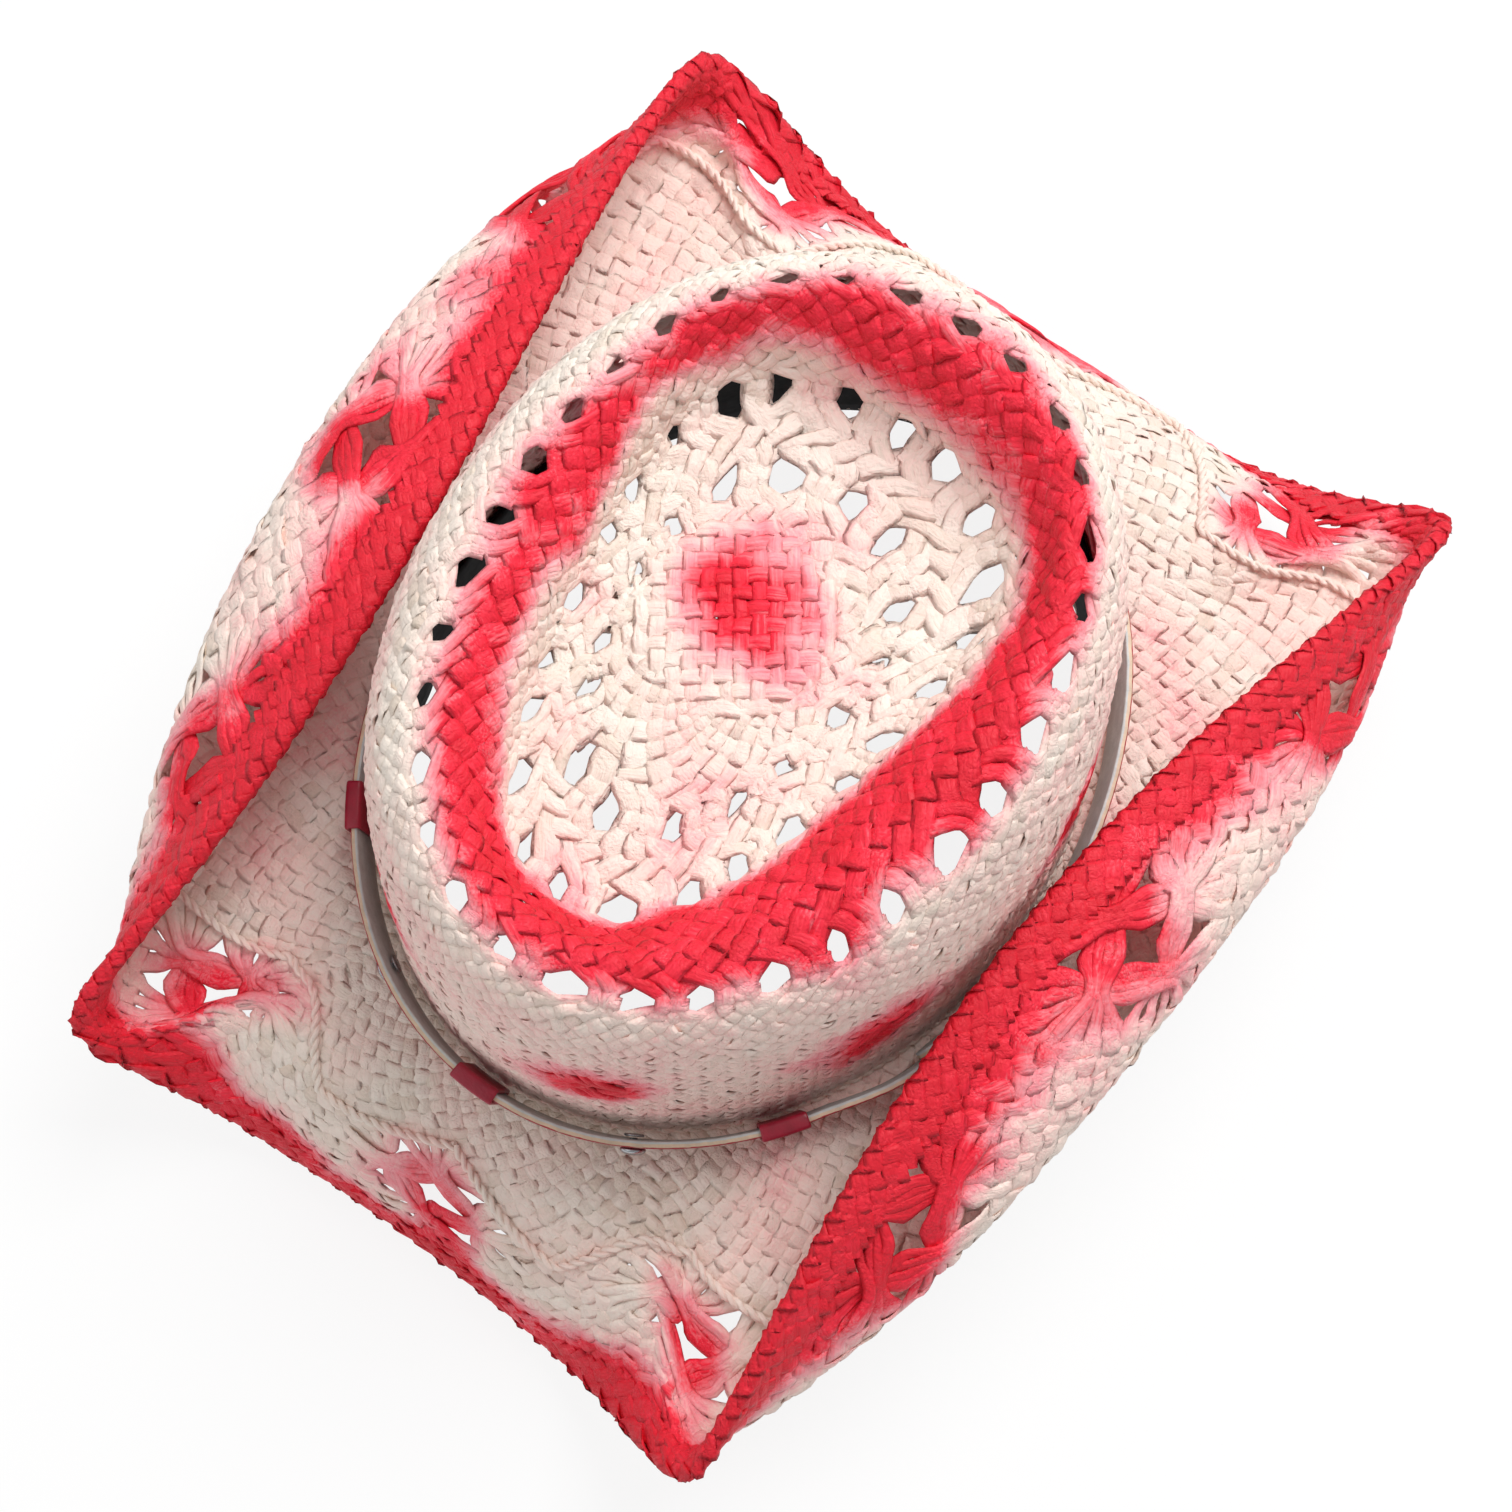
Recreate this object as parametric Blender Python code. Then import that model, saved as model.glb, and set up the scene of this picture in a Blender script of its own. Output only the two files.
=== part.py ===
"""Western straw hat: plaited crown and rolled brim, wired hem, sweatband and a loose studded hat band.

Metres, +Z up, front of the hat towards -Y. The hat stands on the front and back of its brim.
"""
import math

import bmesh
import bpy
import numpy as np
from mathutils import Vector
from mathutils.geometry import delaunay_2d_cdt

MM = 0.001
FIT_GAP = 0.35 * MM

# Straw
STRAW_THICKNESS = 2.4 * MM

# Crown, outside sizes of the straw's middle layer
CROWN_LENGTH = 207 * MM
CROWN_WIDTH = 166 * MM
CROWN_HEIGHT = 106.5 * MM
WALL_TAPER = 2.4 * MM
SHOULDER_DROP = 19.5 * MM
SHOULDER_INSET = 5.6 * MM
EDGE_DROP = 3.5 * MM
EDGE_INSET = 13.5 * MM
RIM_SLOPE = 0.13
RIM_SIDE_INSET = 25.5 * MM
RIM_END_INSET = 23 * MM
DENT_WIDTH = 93 * MM
DENT_FRONT = 74 * MM
DENT_BACK = 69.5 * MM
DENT_NARROWING = 0.25
DENT_DEPTH = 21.5 * MM
DENT_WALL_RUN = 7.5 * MM
FLOOR_DISH = 3 * MM
TIP_SHIFT = 5 * MM

# Brim: how far its edge lies from the crown's foot, and how it rolls
BRIM_DROP = 54 * MM
FRONT_REACH = 42.5 * MM
BACK_REACH = 53 * MM
FRONT_CORNER = (14.8 * MM, 58 * MM, 5 * MM)
FRONT_CORNER_ANGLE = math.radians(-58)
BACK_CORNER_ANGLE = math.radians(52)
ROLL_RISE = 37 * MM
CORNER_HANDLE = 40 * MM
FRONT_HANDLE = 25 * MM
BACK_HANDLE = 32 * MM
ROLL_LIP_ANGLE = math.radians(182)
CORNER_LIP_ANGLE = math.radians(40)
DIP_LIP_ANGLE = math.radians(-90)
LEVEL_SHARE = 0.3
DIP_SPREAD = 1.8
CORNER_SWEEP = 2.5
ROLL_FULLNESS = 0.3
EDGE_ROUNDING = math.radians(3.2)
LIP_ROUNDING = math.radians(3.5)
FACING_ROUNDING = math.radians(9)

# Rolls, bent unevenly by wear: back corner, bow towards the crown, skew towards the back, curve handle
RIGHT_BACK_CORNER = (35 * MM, 52.5 * MM, 17.6 * MM)
RIGHT_BOW = 22.5 * MM
RIGHT_SKEW = 1.6 * MM
RIGHT_HANDLE = 55 * MM
LEFT_BACK_CORNER = (35 * MM, 46.5 * MM, 26.6 * MM)
LEFT_BOW = 20.5 * MM
LEFT_SKEW = 11 * MM
LEFT_HANDLE = 61 * MM

# Hem with its wire
HEM_FLAP = 7 * MM
HEM_SKIN = 0.9 * MM
NOSE_SHARE = 0.65
PRESSED_DEPTH = 0.3 * MM
WIRE_DIAMETER = 1.1 * MM
JOINER_WALL = 0.3 * MM
JOINER_LENGTH = 18 * MM

# Openwork: rings of holes in the crown, from the tip outwards, and flowers in the brim
RING_COUNTS = (16, 24, 32)
RING_LEVELS = (7.62, 6.9, 4.45)
RING_TILTS = (0.0, 0.0, 0.5)
RING_HALF_LEVELS = (0.14, 0.22, 0.3)
RING_HALF_WIDTHS = (4.2 * MM, 4 * MM, 3.6 * MM)
FLOWERS = 12
FRONT_FLOWER_LEVEL = 0.68
ROLL_FLOWER_LEVEL = 0.82
FLOWER_RISE = 0.8

# One flower's holes as place across it (-1..1), level from its middle, half width and half level
FLOWER_HOLES = (
    (0.00, 0.00, 0.15, 0.065),
    (-0.20, -0.22, 0.09, 0.075),
    (0.20, -0.22, 0.09, 0.075),
    (-0.56, -0.14, 0.13, 0.070),
    (0.56, -0.14, 0.13, 0.070),
)

# Sweatband
SWEATBAND_HEIGHT = 38 * MM
SWEATBAND_THICKNESS = 1.2 * MM

# Hat band
STRAP_HEIGHT = 15 * MM
STRAP_THICKNESS = 1.8 * MM
STRAP_EASE = 0.4 * MM
STRAP_LIFT = 0.7 * MM
STRAP_FLARE = 2.6 * MM
STRAP_END_ANGLE = math.radians(-22)
STRAP_OVERLAP = math.radians(13)
STRAP_RAMP = math.radians(13)
KEEPER_LENGTH = 12 * MM
KEEPER_WALL = 0.9 * MM
KEEPER_ANGLES = {"left": math.radians(-139), "front": math.radians(-91), "right": math.radians(-43)}
STUD_ANGLES = {"left": math.radians(-115), "right": math.radians(-65)}
STUD_DIAMETER = 6.5 * MM
STUD_HEIGHT = 1.8 * MM
STUD_EDGE_SHARE = 0.25
STUD_POST_DIAMETER = 2.0 * MM
STUD_BACK_DIAMETER = 5.0 * MM
STUD_BACK_THICKNESS = 0.6 * MM

# Facets: rows of points as level and number of columns
CROWN_COLUMNS = 72
CROWN_ROWS = (
    *((level, CROWN_COLUMNS) for level in (0.0, 1.0, 2.0)),
    *((level, 56) for level in (2.6, 3.1, 3.6, 4.5, 4.9)),
    *((level, 44) for level in (5.3, 5.7, 6.1, 6.5, 6.8)),
    *((7.35, 40), (7.7, 32), (8.2, 24), (8.7, 12)),
)
BRIM_COLUMNS = 96
BRIM_ROWS = (
    *((level, CROWN_COLUMNS) for level in (0.0, 0.15, 0.3, 0.42, 0.55, 0.67, 0.79, 0.91)),
    (1.0, BRIM_COLUMNS),
)
BRIM_SEAM = math.pi / FLOWERS
CORNER_CROWDING = 0.5
TABLE_STEPS = 720
PROBE = 1e-3
TINY = 1e-6
WIRE_SIDES = 4
TURNED_SIDES = 12
DOME_ANGLES = (0, 0.6, 1.1)
HOLE_MARGIN = 1.3
SHARP_ANGLE = math.radians(40)
DENT_LEVEL = 6
TIP_LEVEL = 9

# Sizes that follow from the ones above
GIRTH = math.pi * (CROWN_WIDTH + CROWN_LENGTH) / 2
HALF_WIDTH = CROWN_WIDTH / 2
HALF_LENGTH = CROWN_LENGTH / 2
HALF_STRAW = STRAW_THICKNESS / 2
FOOT_Z = HALF_STRAW + FIT_GAP
JOINER_RADIUS = WIRE_DIAMETER / 2 + FIT_GAP + JOINER_WALL
HEM_ROOM = max(HALF_STRAW, JOINER_RADIUS) + FIT_GAP
WIRE_OFFSET = JOINER_RADIUS + FIT_GAP
STRAP_FOOT_GAP = KEEPER_WALL + 2 * FIT_GAP + STRAP_EASE
HEM_NOSE = WIRE_OFFSET + JOINER_RADIUS + FIT_GAP + HEM_SKIN


def clear_scene():
    """Remove whatever the scene holds."""
    for item in list(bpy.data.objects):
        bpy.data.objects.remove(item, do_unlink=True)


def material(name, colour, roughness, metallic=0.0):
    """Principled material from an sRGB hex colour."""
    channels = [int(colour[i : i + 2], 16) / 255 for i in (0, 2, 4)]
    linear = [c / 12.92 if c <= 0.04045 else ((c + 0.055) / 1.055) ** 2.4 for c in channels]
    made = bpy.data.materials.new(name)
    made.use_nodes = True
    shader = made.node_tree.nodes["Principled BSDF"]
    shader.inputs["Base Color"].default_value = (*linear, 1.0)
    shader.inputs["Roughness"].default_value = roughness
    shader.inputs["Metallic"].default_value = metallic
    return made


def add_object(name, vertices, faces, finish):
    """One named object from vertices and faces, shaded smooth, with its normals facing out."""
    mesh = bpy.data.meshes.new(name)
    mesh.from_pydata([tuple(map(float, v)) for v in vertices], [], faces)
    work = bmesh.new()
    work.from_mesh(mesh)
    bmesh.ops.recalc_face_normals(work, faces=work.faces)
    work.to_mesh(mesh)
    work.free()
    mesh.shade_smooth()
    mesh.set_sharp_from_angle(angle=SHARP_ANGLE)
    mesh.materials.append(finish)
    item = bpy.data.objects.new(name, mesh)
    bpy.context.scene.collection.objects.link(item)
    return item


def mix(first, second, share):
    """Straight blend of two values."""
    return first + (second - first) * share


def unit(vectors):
    """Vectors scaled to length one."""
    return vectors / np.linalg.norm(vectors, axis=-1, keepdims=True)


def oval(angle, grow=0.0, height=0.0):
    """Points of the crown's foot oval, moved out by grow."""
    x = (HALF_WIDTH + grow) * np.cos(angle)
    y = (HALF_LENGTH + grow) * np.sin(angle)
    return np.stack([x, y, np.zeros_like(x) + height], axis=-1)


def oval_normal(angle):
    """Outward direction of the foot oval."""
    x = np.cos(angle) / HALF_WIDTH
    y = np.sin(angle) / HALF_LENGTH
    return unit(np.stack([x, y, np.zeros_like(x)], axis=-1))


def crown_sections():
    """Crown sections, foot to tip: half width, front, back, narrowing, height, slope, squareness."""
    top, dent = CROWN_HEIGHT, DENT_WIDTH / 2
    floor = top - DENT_DEPTH
    walls = (
        (0.0, 0.0, 0.00, FOOT_Z, 0.00, 2.0),
        (0.4 * WALL_TAPER, 0.6 * WALL_TAPER, 0.01, 0.29 * top, 0.00, 2.0),
        (WALL_TAPER, 1.25 * WALL_TAPER, 0.02, 0.59 * top, 0.03, 2.0),
        (SHOULDER_INSET, SHOULDER_INSET, 0.03, top - SHOULDER_DROP, 0.6 * RIM_SLOPE, 2.05),
        (EDGE_INSET, EDGE_INSET, 0.05, top - EDGE_DROP, 0.9 * RIM_SLOPE, 2.1),
        (RIM_SIDE_INSET, RIM_END_INSET, 0.12, top, RIM_SLOPE, 2.3),
    )
    sections = [(HALF_WIDTH - w, HALF_LENGTH - l, HALF_LENGTH - l, *rest) for w, l, *rest in walls]
    for run, dish, narrowing, slope, squareness in (
        (0.0, -0.6 * DENT_DEPTH, DENT_NARROWING, RIM_SLOPE, 2.7),
        (DENT_WALL_RUN, 0.0, DENT_NARROWING, 0.7 * RIM_SLOPE, 2.5),
    ):
        shape = (dent - run, DENT_FRONT - run, DENT_BACK - run)
        sections.append((*shape, narrowing, floor - dish, slope, squareness))
    middle = (0.45 * dent, 0.45 * DENT_FRONT, 0.45 * DENT_BACK)
    sections.append((*middle, 0.12, floor - FLOOR_DISH, 0.2 * RIM_SLOPE, 2.1))
    sections.append((0.0, 0.0, 0.0, 0.0, floor - 0.7 * FLOOR_DISH, 0.0, 2.0))
    return sections


def section_ring(section, angle, level):
    """Points of one crown section at the given angles."""
    wide, front, back, narrowing, height, slope, squareness = section
    across = np.sign(np.cos(angle)) * np.abs(np.cos(angle)) ** (2 / squareness)
    along = np.sign(np.sin(angle)) * np.abs(np.sin(angle)) ** (2 / squareness)
    y = np.where(along > 0, back, front) * along
    shift = TIP_SHIFT * max(0.0, level - DENT_LEVEL) / (TIP_LEVEL - DENT_LEVEL)
    x = wide * across * (1 + narrowing * along) - shift
    return np.stack([x, y, height + slope * y], axis=-1)


def crown_surface(turn, level):
    """Middle layer of the crown: turn 0..1 goes round from the right side, level 0..9 from foot to tip."""
    angle = 2 * math.pi * np.asarray(turn)
    sections = crown_sections()
    rings = np.stack([section_ring(s, angle, k) for k, s in enumerate(sections)])
    start = np.clip(np.floor(level).astype(int), 0, TIP_LEVEL - 1)
    t = (level - start)[:, None]
    each = np.arange(len(angle))
    p0, p1, p2, p3 = (rings[np.clip(start + k, 0, TIP_LEVEL), each] for k in (-1, 0, 1, 2))
    bend = 2 * p0 - 5 * p1 + 4 * p2 - p3
    cubic = -p0 + 3 * p1 - 3 * p2 + p3
    return 0.5 * (2 * p1 + (p2 - p0) * t + bend * t**2 + cubic * t**3)


def soften(values, spread):
    """Round off a closed row of values; spread is an angle of turn."""
    step = 2 * math.pi / len(values)
    reach = int(4 * spread / step)
    kernel = np.exp(-0.5 * (np.arange(-reach, reach + 1) * step / spread) ** 2)
    kernel /= kernel.sum()
    padded = np.concatenate([values[-reach:], values, values[:reach]])
    return np.stack([np.convolve(column, kernel, "valid") for column in padded.T], axis=-1)


def brim_edge_at(angle, back_corner, bow, skew, full_handle):
    """Edge point, outward direction, lip angle and curve handles of a right half, before softening."""
    front = np.array([HALF_WIDTH + FRONT_CORNER[0], -HALF_LENGTH - FRONT_CORNER[1], FRONT_CORNER[2]])
    back = np.array([HALF_WIDTH + back_corner[0], HALF_LENGTH + back_corner[1], back_corner[2]])
    if FRONT_CORNER_ANGLE <= angle <= BACK_CORNER_ANGLE:
        share = (angle - FRONT_CORNER_ANGLE) / (BACK_CORNER_ANGLE - FRONT_CORNER_ANGLE)
        arch = math.sin(math.pi * share)
        point = mix(front, back, share) + arch * np.array([skew * (2 * share - 1) - bow, 0, ROLL_RISE])
        lip = mix(CORNER_LIP_ANGLE, ROLL_LIP_ANGLE, math.sqrt(arch))
        handle = mix(CORNER_HANDLE, full_handle, arch**ROLL_FULLNESS)
        return [*point, 1, 0, lip, handle, handle]
    if angle < 0:
        corner, reach, facing, start = front, -HALF_LENGTH - FRONT_REACH, -1, FRONT_HANDLE
        share = (angle + math.pi / 2) / (FRONT_CORNER_ANGLE + math.pi / 2)
    else:
        corner, reach, facing, start = back, HALF_LENGTH + BACK_REACH, 1, BACK_HANDLE
        share = (math.pi / 2 - angle) / (math.pi / 2 - BACK_CORNER_ANGLE)
    rise = max(0.0, (share - LEVEL_SHARE) / (1 - LEVEL_SHARE)) ** DIP_SPREAD
    point = (corner[0] * share, mix(reach, corner[1], share**CORNER_SWEEP), mix(-BRIM_DROP, corner[2], rise))
    lip = mix(DIP_LIP_ANGLE, CORNER_LIP_ANGLE, rise)
    near, far = mix(start, CORNER_HANDLE, share), mix(FRONT_HANDLE, CORNER_HANDLE, share)
    return [*point, 0, facing, lip, near, far]


def brim_table():
    """Brim edge all the way round, each half with its own roll, corners softened."""
    half = np.linspace(-math.pi / 2, math.pi / 2, TABLE_STEPS // 2 + 1)
    right = [brim_edge_at(a, RIGHT_BACK_CORNER, RIGHT_BOW, RIGHT_SKEW, RIGHT_HANDLE) for a in half]
    left = [brim_edge_at(a, LEFT_BACK_CORNER, LEFT_BOW, LEFT_SKEW, LEFT_HANDLE) for a in half[-2:0:-1]]
    rows = np.concatenate([right, left * np.array([-1, 1, 1, -1, 1, 1, 1, 1])])
    edge = soften(rows[:, :3], EDGE_ROUNDING)
    facing = unit(soften(rows[:, 3:5], FACING_ROUNDING))
    return np.concatenate([edge, facing, soften(rows[:, 5:], LIP_ROUNDING)], axis=1)


BRIM_TABLE = brim_table()


def brim_curve(turn):
    """Four control points of the brim's profile at each turn, from the crown's foot to the edge."""
    angle = 2 * math.pi * np.asarray(turn) + BRIM_SEAM
    spot = (angle + math.pi / 2) % (2 * math.pi) / (2 * math.pi) * TABLE_STEPS
    grid = np.arange(TABLE_STEPS + 1)
    closed = np.concatenate([BRIM_TABLE, BRIM_TABLE[:1]])
    row = np.stack([np.interp(spot, grid, column) for column in closed.T], axis=-1)
    edge, facing, lip, near, far = row[:, :3], unit(row[:, 3:5]), row[:, 5:6], row[:, 6:7], row[:, 7:8]
    ending = np.concatenate([np.cos(lip) * facing, np.sin(lip)], axis=-1)
    foot = oval(angle, -HALF_STRAW)
    return foot, foot + near * oval_normal(angle), edge - far * ending, edge


def brim_surface(turn, level):
    """Middle layer of the brim: level 0..1 from foot to flap, 1..2 under the flap, 3 at the fold."""
    turn = np.asarray(turn)
    p0, p1, p2, p3 = (p[:, None] for p in brim_curve(turn))
    t = np.linspace(0, 1, 49)[None, :, None]
    path = (1 - t) ** 3 * p0 + 3 * (1 - t) ** 2 * t * p1 + 3 * (1 - t) * t**2 * p2 + t**3 * p3
    run = np.cumsum(np.linalg.norm(np.diff(path, axis=1), axis=2), axis=1)
    run = np.concatenate([np.zeros((len(turn), 1)), run], axis=1)
    flap_end = run[:, -1] - HEM_NOSE
    flap_start = flap_end - HEM_FLAP
    spots = np.stack([0 * flap_end, flap_start, flap_end, run[:, -1]], axis=1)
    points = np.empty((len(turn), 3))
    for k, row in enumerate(path):
        along = np.interp(level[k], (0, 1, 2, 3), spots[k])
        points[k] = [np.interp(along, run[k], row[:, axis]) for axis in range(3)]
    return points


def normals(surface, turn, level):
    """Unit normals of a surface by differences."""
    round_way = surface(turn + PROBE, level) - surface(turn - PROBE, level)
    up_way = surface(turn, level + PROBE) - surface(turn, level - PROBE)
    return unit(np.cross(round_way, up_way))


def lozenge(turn, level, half_turn, half_level):
    """Four-sided hole in the turn and level plane."""
    return [(turn + half_turn * x, level + half_level * y) for x, y in ((-1, 0), (0, -1), (1, 0), (0, 1))]


def in_holes(points, holes, grow=1.0):
    """Which points lie in any of the convex holes, each grown about its centre."""
    points = np.asarray(points)
    found = np.zeros(len(points), bool)
    for hole in holes:
        centre = np.mean(hole, axis=0)
        corners = centre + (np.asarray(hole) - centre) * grow
        ways = np.roll(corners, -1, axis=0) - corners
        gaps = points[:, None] - corners[None]
        turns = ways[None, :, 0] * gaps[:, :, 1] - ways[None, :, 1] * gaps[:, :, 0]
        found |= np.all(turns > 0, axis=1) | np.all(turns < 0, axis=1)
    return found


def even_columns(count):
    """Column positions 0..1 at even steps."""
    return np.linspace(0, 1, count + 1)


def crowding(angle):
    """Shift of a column towards the nearest of the brim's four corners."""
    return CORNER_CROWDING * np.sin(4 * angle) / (8 * math.pi)


def corner_columns(count):
    """Column positions 0..1 that crowd together at the brim's four corners."""
    even = even_columns(count)
    return even + crowding(2 * math.pi * even + BRIM_SEAM) - crowding(BRIM_SEAM)


def split_quad(near, far, next_near, next_far):
    """Two triangles of a strip's quad, cut from near to the next far corner."""
    return [(near, next_near, next_far), (near, next_far, far)]


def sheet(name, surface, rows, holes, span, thickness, finish, columns=even_columns, ending=None):
    """Straw or strap sheet with holes, triangulated in the turn and level plane and thickened.

    span is the size of that plane. ending "cap" closes the last row to its middle, "open" leaves the
    first and last columns apart, and a number adds a plain strip out to that level.
    """
    scale = np.array(span)
    points, edges = [], []
    for row, (level, count) in enumerate(rows):
        line = [(spot, level) for spot in columns(count)]
        if 0 < row < len(rows) - 1:
            blocked = in_holes(line, holes, HOLE_MARGIN)
            line = [p for p, stop in zip(line, blocked) if min(p[0], 1 - p[0]) < TINY or not stop]
        else:
            edges += [(len(points) + k, len(points) + k + 1) for k in range(count)]
        points += line
    for hole in holes:
        first = len(points)
        points += hole
        edges += [(first + k, first + (k + 1) % len(hole)) for k in range(len(hole))]
    flat = [Vector(np.array(p) * scale) for p in points]
    made, _, triangles, *_ = delaunay_2d_cdt(flat, edges, [], 0, 0.1 * TINY)
    made = np.array([tuple(v) for v in made]) / scale
    middles = np.array([made[list(t)].mean(axis=0) for t in triangles])
    triangles = [t for t, open_here in zip(triangles, in_holes(middles, holes)) if not open_here]
    target = np.arange(len(made))
    if ending != "open":
        left = {round(made[k, 1], 6): k for k in range(len(made)) if made[k, 0] < TINY}
        for k in np.flatnonzero(made[:, 0] > 1 - TINY):
            target[k] = left[round(made[k, 1], 6)]
    vertices = surface(made[:, 0], made[:, 1])
    faces = [tuple(int(target[k]) for k in t) for t in triangles]
    last = [k for k in np.argsort(made[:, 0]) if made[k, 1] > rows[-1][0] - TINY and target[k] == k]
    following = last[1:] + last[:1]
    if ending == "cap":
        vertices = np.concatenate([vertices, vertices[last].mean(axis=0, keepdims=True)])
        faces += [(near, beside, len(made)) for near, beside in zip(last, following)]
    elif ending != "open":
        strip = surface(made[last, 0], np.full(len(last), ending))
        vertices = np.concatenate([vertices, strip])
        for k, (near, beside) in enumerate(zip(last, following)):
            far, far_beside = len(made) + k, len(made) + (k + 1) % len(last)
            faces += split_quad(near, far, beside, far_beside)
    used = sorted({k for face in faces for k in face})
    place = {old: new for new, old in enumerate(used)}
    item = add_object(name, vertices[used], [tuple(place[k] for k in f) for f in faces], finish)
    wall = item.modifiers.new("Thickness", "SOLIDIFY")
    wall.thickness = thickness
    wall.offset = 0.0
    return item


def sweep(name, sections, finish, closed=True, inward=()):
    """Skin through equal closed sections, as a ring or with filled ends.

    The quads of the sides listed in inward are cut along their other diagonal.
    """
    count, corners = len(sections), len(sections[0])
    vertices = np.concatenate(sections)
    faces = []
    for k in range(count if closed else count - 1):
        here, there = k * corners, (k + 1) % count * corners
        for c in range(corners):
            ends = (c, (c + 1) % corners)
            near, far = reversed(ends) if c in inward else ends
            faces += split_quad(here + near, here + far, there + near, there + far)
    if not closed:
        faces.append(tuple(range(corners)))
        faces.append(tuple(range((count - 1) * corners, count * corners)))
    return add_object(name, vertices, faces, finish)


def sleeve(name, outer, inner, finish):
    """Open-ended tube between two rows of equal closed sections."""
    count, corners = len(outer), len(outer[0])
    vertices = np.concatenate([*outer, *inner])
    hollow = count * corners
    faces = []
    for k in range(count - 1):
        for c in range(corners):
            a, b = k * corners + c, k * corners + (c + 1) % corners
            faces.append((a, b, b + corners, a + corners))
            faces.append((hollow + a, hollow + a + corners, hollow + b + corners, hollow + b))
    for start in (0, (count - 1) * corners):
        for c in range(corners):
            a, b = start + c, start + (c + 1) % corners
            faces.append((a, b, hollow + b, hollow + a))
    return add_object(name, vertices, faces, finish)


def ring_holes(count, level, tilt, half_width, half_level):
    """Evenly spaced holes round the crown; a tilted ring sits higher on it at the back."""
    turn = even_columns(TABLE_STEPS)
    levels = level + tilt * np.sin(2 * math.pi * turn)
    steps = np.linalg.norm(np.diff(crown_surface(turn, levels), axis=0), axis=1)
    share = np.concatenate([[0.0], np.cumsum(steps)]) / steps.sum()
    reach = half_width / steps.sum()
    holes = []
    for k in range(count):
        middle = (k + 0.5) / count
        first, spot, last = np.interp((middle - reach, middle, middle + reach), share, turn)
        here = level + tilt * math.sin(2 * math.pi * spot)
        holes.append(lozenge(spot, here, (last - first) / 2, half_level))
    return holes


def build_crown(finish):
    """Plaited crown with its rings of openwork."""
    rings = zip(RING_COUNTS, RING_LEVELS, RING_TILTS, RING_HALF_WIDTHS, RING_HALF_LEVELS)
    holes = [hole for ring in rings for hole in ring_holes(*ring)]
    span = (GIRTH, CROWN_HEIGHT / 4)
    return sheet("crown", crown_surface, CROWN_ROWS, holes, span, STRAW_THICKNESS, finish, ending="cap")


def flower_level(turn):
    """Level of a flower's middle, nearer the edge on the rolls and at the back than at the front."""
    share = (math.sin(2 * math.pi * turn + BRIM_SEAM) + 1) / FLOWER_RISE
    return mix(FRONT_FLOWER_LEVEL, ROLL_FLOWER_LEVEL, min(1.0, share))


def build_brim(finish):
    """Plaited brim with its openwork flowers, ending in the flap that the hem covers."""
    holes = []
    half_flower = 0.5 / FLOWERS
    for flower in range(FLOWERS):
        middle = flower_level((2 * flower + 1) * half_flower)
        for place, above, half_width, half_level in FLOWER_HOLES:
            turn = (2 * flower + 1 + place) * half_flower
            holes.append(lozenge(turn, middle + above, half_width * half_flower, half_level))
    span = (1.5 * GIRTH, 2 * FRONT_REACH)
    flap = 2.0
    return sheet(
        "brim", brim_surface, BRIM_ROWS, holes, span, STRAW_THICKNESS, finish, corner_columns, flap
    )


def hem_frames(turn):
    """Fold point, way out of the brim and normal at the brim's edge."""
    end = np.full(len(turn), 2.0)
    fold = brim_surface(turn, end)
    out = unit(brim_surface(turn, end + 1) - fold)
    return fold, out, unit(np.cross(np.cross(out, normals(brim_surface, turn, end - 0.5)), out))


def hem_turn(turn, length):
    """Change of turn that moves the fold along the hem by a length."""
    ends = hem_frames(np.array([turn - PROBE, turn + PROBE]))[0]
    return 2 * PROBE * length / np.linalg.norm(ends[1] - ends[0])


def build_hem(finish):
    """Folded edge: a channel over the brim's edge with room for the wire, pressed flat where it stands."""
    turn = corner_columns(BRIM_COLUMNS)[:-1]
    fold, out, side = hem_frames(turn)
    start = np.full(len(turn), 1.0)
    back = brim_surface(turn, start)
    back_side = normals(brim_surface, turn, start)
    loop = []
    for cover, nose, way in ((HEM_ROOM + HEM_SKIN, HEM_NOSE, 1), (HEM_ROOM, HEM_NOSE - HEM_SKIN, -1)):
        upper = [back + back_side * cover, fold + side * cover]
        tip = [fold + side * NOSE_SHARE * cover * k + out * nose for k in (1, -1)]
        lower = [fold - side * cover, back - back_side * cover]
        loop += (upper + tip + lower)[::way]
    points = np.stack(loop, axis=1)
    floor = points[:, :, 2].min()
    points[:, :, 2] = np.where(points[:, :, 2] < floor + PRESSED_DEPTH, floor, points[:, :, 2])
    towards_crown = (4, 10)
    return sweep("brim_hem", list(points), finish, inward=towards_crown)


def ring_sections(centres, first, second, radius, sides):
    """Round sections about a path."""
    spin = np.arange(sides) * 2 * math.pi / sides
    circle = np.stack([np.cos(spin), np.sin(spin)], axis=1) * radius
    return [c + circle[:, :1] * a + circle[:, 1:] * b for c, a, b in zip(centres, first, second)]


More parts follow.
